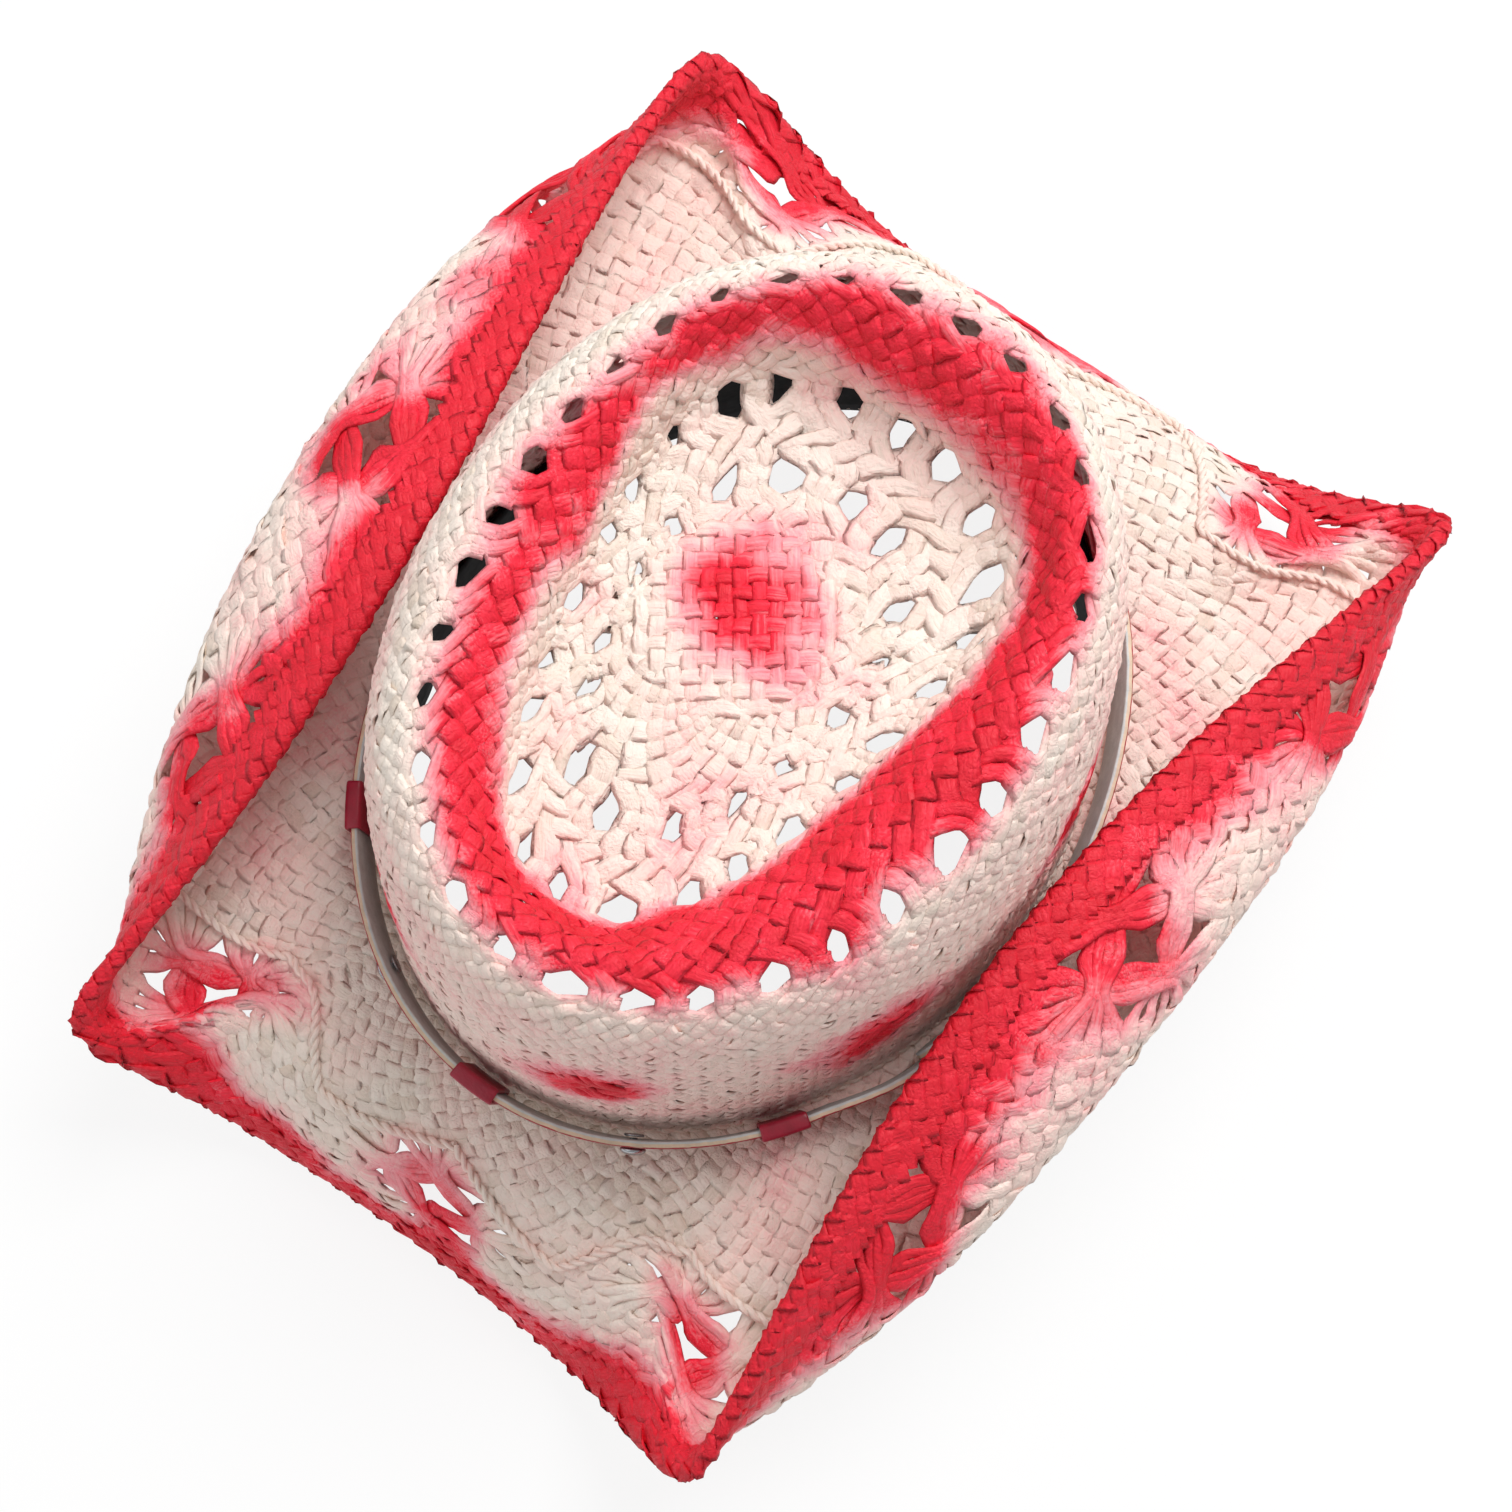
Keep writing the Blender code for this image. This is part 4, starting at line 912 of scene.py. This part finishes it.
def powers(points):
    """Terms of a quadratic surface over x and y, in millimetres."""
    x, y = points[:, 0] / MM, points[:, 1] / MM
    return np.stack([0 * x + 1, x, y, x * x, x * y, y * y], axis=1)


def tip_strands(hat, way):
    """Straight strands of the square basket patch on the crown's tip."""
    straw, aim = hat.straw, hat.stage.azimuth
    ahead = np.array([math.cos(aim), math.sin(aim)])
    side = np.array([-ahead[1], ahead[0]])
    if way < 0:
        ahead, side = side, ahead
    turn, level = np.meshgrid(np.arange(120) / 120, np.linspace(7.7, 8.75, 30))
    floor = CROWN.point(turn.ravel(), level.ravel()) - FOOT
    fit = np.linalg.lstsq(powers(floor), floor[:, 2], rcond=None)[0]
    groups = []
    for k in range(TIP_STRANDS):
        offset = (k - (TIP_STRANDS - 1) / 2) * TIP_SPACING
        half = math.sqrt(TIP_REACH**2 - offset**2)
        run = np.linspace(-half, half, max(8, int(half / (0.8 * MM))))
        spot = TIP_MIDDLE + run[:, None] * ahead + offset * side
        wave = np.cos(math.pi * (run / TIP_SPACING + 0.5)) * (-1) ** k * way
        edge = ease((np.abs(run) - half + TIP_EDGE) / TIP_EDGE)
        z = powers(spot) @ fit + (1.15 * MM + straw.depth * 0.9 * wave) * (1 - edge) - 0.9 * MM * edge
        centre = np.stack([spot[:, 0], spot[:, 1], z], axis=1) + FOOT
        rng = np.random.default_rng(TIP_SEED + 20 * way + k)
        tangent = unit(np.gradient(centre, axis=0))
        across = unit(np.cross([0, 0, 1], tangent))
        out = np.cross(tangent, across)
        roll, swell, sway = (wander(rng, 1, len(run), 8)[0][:, None] for _ in range(3))
        roll = ROLL * roll
        width = TIP_SPACING * (1.08 + SWELL * swell)
        group = {
            "centre": centre + across * SWAY * sway,
            "side": (across * np.cos(roll) + out * np.sin(roll)) * width / 2,
            "out": (out * np.cos(roll) - across * np.sin(roll)) * straw.thickness / 2,
            "along": (run + rng.uniform())[:, None],
            "breadth": width / 2,
            "tone": rng.uniform() + 0 * width,
        }
        flat, high = np.zeros(len(run)), np.full(len(run), CROWN_TOP_LEVEL)
        sides = (centre + group["side"], centre - group["side"])
        near, far = (crown_dye(hat.dye, points, flat, high)[:, None] for points in sides)
        group["dye"], group["lean"] = (near + far) / 2, (near - far) / 2
        groups.append(single(group))
    return groups


def twisted(sheet, turn, share, height, ply, pitch, seed):
    """Two plies wound round each other along a line on a sheet."""
    normal = sheet.normal(turn, share)
    path = sheet.point(turn, share) + normal * height
    ahead = unit(np.gradient(path, axis=0))
    side = unit(np.cross(normal, ahead))
    step = np.linalg.norm(np.diff(path, axis=0), axis=-1)
    along = np.concatenate([[0], np.cumsum(step)])
    rng = np.random.default_rng(seed)
    made = []
    for start in (0, math.pi):
        spin = (TAU * along / pitch + start)[:, None]
        centre = path + 0.42 * ply * (side * np.cos(spin) + normal * np.sin(spin))
        tangent = unit(np.gradient(centre, axis=0))
        across = unit(np.cross(normal, tangent))
        swell = (1 + 0.08 * wander(rng, 1, len(turn), len(turn) // 6)[0])[:, None]
        made.append(
            {
                "centre": centre,
                "side": across * swell * ply / 2,
                "out": np.cross(tangent, across) * swell * ply / 2,
                "along": (along + rng.uniform())[:, None],
                "breadth": 0 * swell + ply / 2,
                "tone": 0 * swell + rng.uniform(0.3, 1),
            }
        )
    return made


def loft(name, sections, finish, closed=True):
    """Skin through equal closed sections, joined into a ring or with filled ends."""
    sections = np.asarray(sections)
    count, corners = sections.shape[:2]
    faces = []
    for k in range(count if closed else count - 1):
        here, there = k * corners, (k + 1) % count * corners
        for c in range(corners):
            d = (c + 1) % corners
            faces.append((here + c, there + c, there + d, here + d))
    if not closed:
        faces.append(tuple(range(corners)))
        faces.append(tuple(reversed(range((count - 1) * corners, count * corners))))
    mesh = bpy.data.meshes.new(name)
    mesh.from_pydata(sections.reshape(-1, 3).tolist(), [], faces)
    mesh.shade_smooth()
    mesh.materials.append(finish)
    return added(name, mesh)


def facing_out(piece):
    """Turn the faces of a closed piece outwards if they point in."""
    mesh = piece.data
    mesh.calc_loop_triangles()
    spots = np.array([v.co for v in mesh.vertices])
    corners = spots[np.array([t.vertices for t in mesh.loop_triangles])]
    if np.einsum("ij,ij->", corners[:, 0], np.cross(corners[:, 1], corners[:, 2])) < 0:
        mesh.flip_normals()
    return piece


def strap_spot(angle, share, offset):
    """Point of the strap at a share of its height, moved out by offset, and its along, up and face ways."""
    angle = np.asarray(angle, float)
    ring, outward = oval(angle, STRAP_GROW)
    foot = ring + np.array([0, 0, STRAP_FOOT]) + FOOT
    lean = math.sqrt(STRAP_HEIGHT**2 - STRAP_FLARE**2)
    up = (outward * STRAP_FLARE + np.array([0, 0, lean])) / STRAP_HEIGHT
    along = np.stack([-outward[..., 1], outward[..., 0], 0 * angle], axis=-1)
    face = np.cross(along, up)
    share, offset = np.asarray(share, float)[..., None], np.asarray(offset, float)[..., None]
    return foot + up * STRAP_HEIGHT * share + face * offset, along, up, face


def rounded_bar(half_height, half_depth, radius, steps=3):
    """Corners of a rounded rectangle as height and depth."""
    points = []
    for x, y, start in ((1, 1, 0), (-1, 1, 1), (-1, -1, 2), (1, -1, 3)):
        for k in range(steps + 1):
            spin = (start + k / steps) * math.pi / 2
            height = x * (half_height - radius) + radius * math.cos(spin)
            points.append((height, y * (half_depth - radius) + radius * math.sin(spin)))
    return np.array(points)


def strap_finish(band):
    """Bonded leather strap: dyed grained face, pale raw edge, grey felt lining."""
    made, tree, shader, place = surface("bonded_leather_strap")
    if tree is None:
        return made
    depth = add_node(tree, "ShaderNodeAttribute", attribute_name="depth").outputs["Fac"]
    # Grain of 0.8 mm pebbles and 3 mm wear
    grain = pebbles(tree, place, 0.8 * MM)
    wear = noise(tree, place, 3 * MM, 4.0)
    ragged = sums(tree, "MULTIPLY_ADD", wear, 0.3, depth)
    stops = ((0.30, band.lining), (0.42, band.core), (0.76, band.core), (0.9, band.strap))
    layers = ramped(tree, ragged, stops, "EASE")
    paint = blended(tree, 1.0, layers, ranged(tree, wear, 0.3, 0.75, 0.82, 1.1), "MULTIPLY")
    rough = ranged(tree, wear, 0.3, 0.7, 0.42, 0.6)
    dress(tree, shader, paint, rough, bumped(tree, grain, 0.35, 0.2 * MM))
    return made


def keeper_finish(band):
    """Thin dyed leather wrapped tight: smoother and glossier than the strap."""
    made, tree, shader, place = surface("dyed_leather_wrap")
    if tree is None:
        return made
    # Grain of 0.7 mm, colour drift of 4 mm
    grain = pebbles(tree, place, 0.7 * MM)
    drift = noise(tree, place, 4 * MM, 4.0)
    worn = ranged(tree, drift, 0.3, 0.7, 0.8, 1.15)
    paint = blended(tree, 1.0, (*band.keeper, 1), worn, "MULTIPLY")
    rough = ranged(tree, drift, 0.3, 0.7, 0.34, 0.5)
    dress(tree, shader, paint, rough, bumped(tree, grain, 0.3, 0.15 * MM))
    return made


def tape_finish(band):
    """Woven black cotton tape: matt, with a twill of fine slanted ribs."""
    made, tree, shader, _ = surface("black_cotton_tape")
    if tree is None:
        return made
    weave = add_node(tree, "ShaderNodeAttribute", attribute_name="weave").outputs["Vector"]
    # Twill ribs 1.2 mm apart, coarser than real so that they show; lint of 2 mm
    twill = {"Vector": weave, "Scale": 1 / (1.2 * MM) / 20, "Distortion": 0.8}
    twill.update({"Detail": 2.0, "Detail Scale": 8.0})
    ribs = add_node(tree, "ShaderNodeTexWave", twill, bands_direction="DIAGONAL").outputs["Fac"]
    lint = noise(tree, weave, 2 * MM, 5.0)
    dark, pale = ((*(factor * c for c in band.tape), 1) for factor in (0.55, 1.6))
    paint = blended(tree, sums(tree, "MULTIPLY", ribs, lint), dark, pale)
    dress(tree, shader, paint, ranged(tree, lint, 0.3, 0.7, 0.85, 0.97), bumped(tree, ribs, 0.5, 0.2 * MM))
    shader.inputs["Specular IOR Level"].default_value = 0.2
    return made


def steel_finish(band):
    """Nickel-plated steel, drawn and polished: bright with faint handling marks."""
    made, tree, shader, place = surface("nickel_plated_steel")
    if tree is None:
        return made
    # Handling marks of 1.5 mm
    marks = noise(tree, place, 1.5 * MM, 5.0)
    paint = blended(tree, marks, (*band.steel, 1), (*(0.7 * c for c in band.steel), 1))
    rough = ranged(tree, marks, 0.3, 0.7, 0.16, 0.36)
    dress(tree, shader, paint, rough, bumped(tree, marks, 0.15, 0.05 * MM))
    shader.inputs["Metallic"].default_value = 1.0
    return made


def turned(name, profile, angle, finish, sides=32):
    """Turned piece on the strap; profile runs from axis to axis as radius and height over mid strap."""
    point, along, up, face = (v[0] for v in strap_spot([angle], [0.5], [0.0]))
    spin = TAU * np.arange(sides) / sides
    rings = [
        point + radius * (np.cos(spin)[:, None] * along + np.sin(spin)[:, None] * up) + height * face
        for radius, height in profile
    ]
    return facing_out(loft(name, rings, finish, closed=False))


class STRAW_HAT_OT_brim(bpy.types.Operator):
    """Plait the brim with its openwork flowers and fold its edge into the hem"""

    bl_idname = "straw_hat.brim"
    bl_label = "Plait Brim and Hem"

    def execute(self, context):
        hat = context.scene.straw_hat
        finish = straw_finish(hat.dye)
        for word, way in (("rising", 1), ("falling", -1)):
            piece = ribbons("brim_plait_" + word, [brim_strands(hat, way)], finish)
            settle(piece, "hat", "straw", "brim")
        hem = ribbons("hem_plait", [hem_strands(hat, 1), hem_strands(hat, -1)], finish)
        settle(hem, "hat", "red_straw", "brim_hem")
        return {"FINISHED"}


class STRAW_HAT_OT_crown(bpy.types.Operator):
    """Plait the crown's wall, rim and dent with their rings of holes, and the basket patch on its tip"""

    bl_idname = "straw_hat.crown"
    bl_label = "Plait Crown"

    def execute(self, context):
        hat = context.scene.straw_hat
        finish = straw_finish(hat.dye)
        for word, way in (("rising", 1), ("falling", -1)):
            wall = ribbons("crown_wall_" + word, [crown_strands(hat, 0, way)], finish)
            settle(wall, "hat", "straw", "crown")
        rim = ribbons("crown_rim", [crown_strands(hat, 1, way) for way in (1, -1)], finish)
        inner = [crown_strands(hat, zone, way) for zone in (2, 3) for way in (1, -1)]
        dent = ribbons("crown_dent", inner, finish)
        tip = ribbons("crown_tip", [*tip_strands(hat, 1), *tip_strands(hat, -1)], finish)
        for piece in (rim, dent, tip):
            settle(piece, "hat", "straw", "crown")
        return {"FINISHED"}


class STRAW_HAT_OT_cords(bpy.types.Operator):
    """Lay the raised zigzag cord round the brim and the cord that closes the crown's foot"""

    bl_idname = "straw_hat.cords"
    bl_label = "Lay Raised Cords"

    def execute(self, context):
        hat = context.scene.straw_hat
        ply = hat.straw.cord
        turn = np.linspace(0, 1, 1001)
        swing = np.abs((turn * FLOWERS) % 1 - 0.5) * 2
        row = around(FLOWER_ROWS, turn) - mix(1.5, 2 * FLOWER_HALF, swing)
        share = brim_share(turn, row)
        zigzag = twisted(BRIM, turn, share, 1.5 * MM, ply, 6.5 * MM, ZIGZAG_SEED)
        turns = np.linspace(0, 1, 601)
        foot = twisted(CROWN, turns, np.full(601, 0.02), 0.2 * MM, 1.6 * MM, 7 * MM, FOOT_SEED)
        for line in zigzag:
            line["dye"] = 0.8 * brim_dye(hat.dye, line["centre"], turn, share)[:, None]
        for line in foot:
            line["dye"] = 0 * line["tone"] + 0.05
        groups = [single({**line, "lean": 0 * line["tone"]}) for line in (*zigzag, *foot)]
        settle(ribbons("raised_cords", groups, straw_finish(hat.dye)), "hat", "straw")
        return {"FINISHED"}


class STRAW_HAT_OT_sweatband(bpy.types.Operator):
    """Sew the black tape into the crown's foot"""

    bl_idname = "straw_hat.sweatband"
    bl_label = "Sew Sweatband"

    def execute(self, context):
        hat = context.scene.straw_hat
        columns = 288
        turn = np.arange(columns) / columns
        low, high = 0.0, 1.19
        near, far = HALF_STRAW + FIT_GAP + 0.1 * MM, HALF_STRAW + FIT_GAP + 1.2 * MM
        rising = np.linspace(low, high, 10)
        loop, weave = [], []
        length_round = turn * CROWN_GIRTH
        for inset, levels in ((near, rising), (far, rising[::-1])):
            for level in levels:
                spots = np.full(columns, level)
                swell = 0.25 * MM * np.sin(TAU * turn * 41) * (inset == far)
                points = CROWN.point(turn, spots) - CROWN.normal(turn, spots) * (inset + swell)[:, None]
                if level == low:
                    points[:, 2] = SEAT[0].z
                loop.append(points)
                weave.append(np.stack([length_round, 0 * turn + level * 30 * MM, 0 * turn], axis=1))
        tape = facing_out(loft("sweatband_tape", np.stack(loop, axis=1), tape_finish(hat.band)))
        store(tape.data, "weave", np.stack(weave, axis=1).reshape(-1, 3))
        settle(tape, "hat", "black_cloth", "sweatband")
        return {"FINISHED"}


class STRAW_HAT_OT_strap(bpy.types.Operator):
    """Cut the hat band's strap and lap its ends"""

    bl_idname = "straw_hat.strap"
    bl_label = "Cut Strap"

    def execute(self, context):
        hat = context.scene.straw_hat
        whole = TAU + STRAP_OVERLAP
        angle = STRAP_END + np.linspace(0, whole, 361)
        past = np.clip((angle - STRAP_END - TAU + STRAP_RAMP / 5) / STRAP_RAMP + 1, 0, 1)
        step = (STRAP_THICKNESS + FIT_GAP) * ease(past)
        bar = rounded_bar(STRAP_HEIGHT / 2, STRAP_THICKNESS / 2, 0.35 * MM)
        end_gap = np.minimum(angle - angle[0], angle[-1] - angle) * 95 * MM
        taper = np.sqrt(np.clip(1 - (1 - np.clip(end_gap / (5 * MM), 0, 1)) ** 2, 0.12, 1))
        sections = []
        for height, depth in bar:
            share = 0.5 + height / STRAP_HEIGHT * taper
            wave = 0.18 * MM * np.sin(9 * angle + 1.0) * height / STRAP_HEIGHT
            sections.append(strap_spot(angle, share, step + depth + wave)[0])
        finish = strap_finish(hat.band)
        strap = facing_out(loft("strap_leather", np.stack(sections, axis=1), finish, closed=False))
        store(strap.data, "depth", np.tile(0.5 + bar[:, 1] / STRAP_THICKNESS, len(angle)) - 0.15)
        settle(strap, "hat_band", "red_leather", "hat_band_strap")
        return {"FINISHED"}


class STRAW_HAT_OT_keepers(bpy.types.Operator):
    """Wrap the three keepers round the strap"""

    bl_idname = "straw_hat.keepers"
    bl_label = "Wrap Keepers"

    def execute(self, context):
        hat = context.scene.straw_hat
        finish = keeper_finish(hat.band)
        outer = rounded_bar(
            STRAP_HEIGHT / 2 + FIT_GAP + KEEPER_WALL, STRAP_THICKNESS / 2 + FIT_GAP + KEEPER_WALL, 1.1 * MM, 5
        )
        inner = rounded_bar(STRAP_HEIGHT / 2 + FIT_GAP, STRAP_THICKNESS / 2 + FIT_GAP, 0.3 * MM, 5)
        for side, middle in KEEPER_ANGLES.items():
            ends = strap_spot([middle - 0.001, middle + 0.001], [0.5, 0.5], [0, 0])[0]
            half = 0.002 * KEEPER_LENGTH / 2 / np.linalg.norm(ends[1] - ends[0])
            shares = (-1, -0.97, -0.9, -0.5, 0, 0.5, 0.9, 0.97, 1)
            rounding = (0.3, 0.1, 0, 0, 0, 0, 0, 0.1, 0.3)
            loops = [(mix(outer, inner, r), s) for s, r in zip(shares, rounding)]
            loops += [(inner, s) for s in (1, 0, -1)]
            sections = []
            for shape, share in loops:
                angle = np.full(len(shape), middle + share * half)
                sections.append(strap_spot(angle, 0.5 + shape[:, 0] / STRAP_HEIGHT, shape[:, 1])[0])
            piece = facing_out(loft("keeper_wrap_" + side, sections, finish))
            settle(piece, "hat_band", "red_leather", "band_keeper_" + side)
        return {"FINISHED"}


class STRAW_HAT_OT_studs(bpy.types.Operator):
    """Set the studs with their washers and the rivet, and finish the hem's wire"""

    bl_idname = "straw_hat.studs"
    bl_label = "Set Studs and Rivet"

    def execute(self, context):
        hat = context.scene.straw_hat
        finish = steel_finish(hat.band)
        bare = STRAP_THICKNESS / 2 + FIT_GAP

        def stud(seat):
            bend = np.linspace(0, 1.5, 9)
            dome = [(STUD_RADIUS * math.cos(a), seat + 0.45 * MM + 1.35 * MM * math.sin(a)) for a in bend]
            rim = [(2.9 * MM, seat), (3.2 * MM, seat + 0.12 * MM)]
            foot = [(0.02 * MM, -bare), (0.9 * MM, -bare)]
            shank = [(STUD_SHANK, -bare + 0.1 * MM), (STUD_SHANK, seat)]
            return [*foot, *shank, *rim, *dome]

        washer_foot = -bare - FIT_GAP - WASHER_THICKNESS
        washer = [(radius * MM, washer_foot + height * MM) for radius, height in WASHER_MM]
        for side, angle in STUD_ANGLES.items():
            dome = turned("stud_dome_" + side, stud(bare), angle, finish)
            settle(dome, "hat_band", "steel", "band_stud_" + side)
            back = turned("stud_washer_" + side, washer, angle, finish)
            settle(back, "hat_band", "steel", "stud_back_" + side)
        middle = STRAP_END + STRAP_OVERLAP / 2
        rivet = turned("rivet_dome", stud(bare + STRAP_THICKNESS + FIT_GAP), middle, finish)
        settle(rivet, "hat_band", "steel", "strap_rivet")
        for name in ("brim_wire", "wire_joiner"):
            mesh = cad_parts[name].data
            mesh.materials.clear()
            mesh.materials.append(finish)
        return {"FINISHED"}


def floor_finish(stage):
    """Matt pale paper that glows a little where it is seen, so that it stays white."""
    made, tree, shader, _ = surface("studio_floor")
    if tree is None:
        return made
    shader.inputs["Base Color"].default_value = (*stage.floor, 1)
    shader.inputs["Roughness"].default_value = 0.9
    shader.inputs["Specular IOR Level"].default_value = 0.1
    path = add_node(tree, "ShaderNodeLightPath").outputs
    seen = sums(tree, "MAXIMUM", path["Is Camera Ray"], path["Is Glossy Ray"])
    seen = sums(tree, "MAXIMUM", seen, path["Is Transmission Ray"])
    glow = sums(tree, "MULTIPLY", seen, FLOOR_GLOW)
    white = add_node(tree, "ShaderNodeEmission", {"Color": (1, 1, 1, 1), "Strength": 1.0}).outputs[0]
    both = add_node(tree, "ShaderNodeMixShader", {0: glow, 1: shader.outputs[0], 2: white}).outputs[0]
    tree.links.new(both, tree.nodes["Material Output"].inputs["Surface"])
    return made


def aimed(item, target, away):
    """Stand a camera or lamp away from a target and turn it to face it."""
    item.location = target + away
    item.rotation_mode = "QUATERNION"
    item.rotation_quaternion = (-away).to_track_quat("-Z", "Y")
    return item


class STRAW_HAT_OT_stage(bpy.types.Operator):
    """Lay the pale floor, set the light and aim the camera"""

    bl_idname = "straw_hat.stage"
    bl_label = "Set Stage"

    def execute(self, context):
        scene, stage = context.scene, context.scene.straw_hat.stage
        mesh = bpy.data.meshes.new("floor")
        corners = [(x * FLOOR_REACH, y * FLOOR_REACH, 0) for x, y in ((-1, -1), (1, -1), (1, 1), (-1, 1))]
        mesh.from_pydata(corners, [], [(0, 1, 2, 3)])
        mesh.materials.append(floor_finish(stage))
        added("floor", mesh)

        aim, lift = stage.azimuth, stage.elevation
        right = Vector((math.cos(aim), math.sin(aim), 0))
        back = Vector((math.sin(aim) * math.cos(lift), -math.cos(aim) * math.cos(lift), math.sin(lift)))
        up = back.cross(right)
        middle = Vector(FOOT) + Vector((0, 0, AIM_HEIGHT))
        target = middle + right * AIM_RIGHT * MM - up * AIM_DOWN * MM
        camera = bpy.data.cameras.new("camera")
        camera.lens = stage.lens
        camera.sensor_width = 36
        scene.camera = aimed(added("camera", camera), target, back * stage.distance)

        flat_up = Vector((-math.sin(aim), math.cos(aim), 0))
        for name, across, along, height, size, power in LAMPS:
            lamp = bpy.data.lights.new(name, "AREA")
            lamp.shape = "DISK"
            lamp.size = size
            lamp.energy = power
            aimed(added(name, lamp), middle, right * across + flat_up * along + Vector((0, 0, height)))
        world = bpy.data.worlds.new("studio")
        world.use_nodes = True
        scene.world = world
        tree = world.node_tree
        sky = tree.nodes["Background"]
        seen = add_node(tree, "ShaderNodeLightPath").outputs["Is Camera Ray"]
        tree.links.new(ranged(tree, seen, 0.0, 1.0, SKY_LIGHT, 1.0), sky.inputs["Strength"])
        sky.inputs["Color"].default_value = (1, 1, 1, 1)
        scene.view_settings.view_transform = "Standard"
        return {"FINISHED"}


class STRAW_HAT_PT_panel(bpy.types.Panel):
    """Steps of the hat in the sidebar"""

    bl_label = "Straw Hat"
    bl_idname = "STRAW_HAT_PT_panel"
    bl_space_type = "VIEW_3D"
    bl_region_type = "UI"
    bl_category = "Straw Hat"

    def draw(self, context):
        for step in STEPS:
            self.layout.operator(step.bl_idname)


STEPS = (
    STRAW_HAT_OT_stage,
    STRAW_HAT_OT_brim,
    STRAW_HAT_OT_crown,
    STRAW_HAT_OT_cords,
    STRAW_HAT_OT_sweatband,
    STRAW_HAT_OT_strap,
    STRAW_HAT_OT_keepers,
    STRAW_HAT_OT_studs,
)
CLASSES = (
    StrawSettings,
    DyeSettings,
    BandSettings,
    StageSettings,
    HatSettings,
    *STEPS,
    STRAW_HAT_PT_panel,
)


def register():
    for item in CLASSES:
        bpy.utils.register_class(item)
    bpy.types.Scene.straw_hat = PointerProperty(type=HatSettings)


def unregister():
    del bpy.types.Scene.straw_hat
    for item in reversed(CLASSES):
        bpy.utils.unregister_class(item)


def main():
    """Register the classes and run every step in order."""
    register()
    for step in STEPS:
        group, name = step.bl_idname.split(".")
        getattr(getattr(bpy.ops, group), name)()


if __name__ == "__main__":
    main()
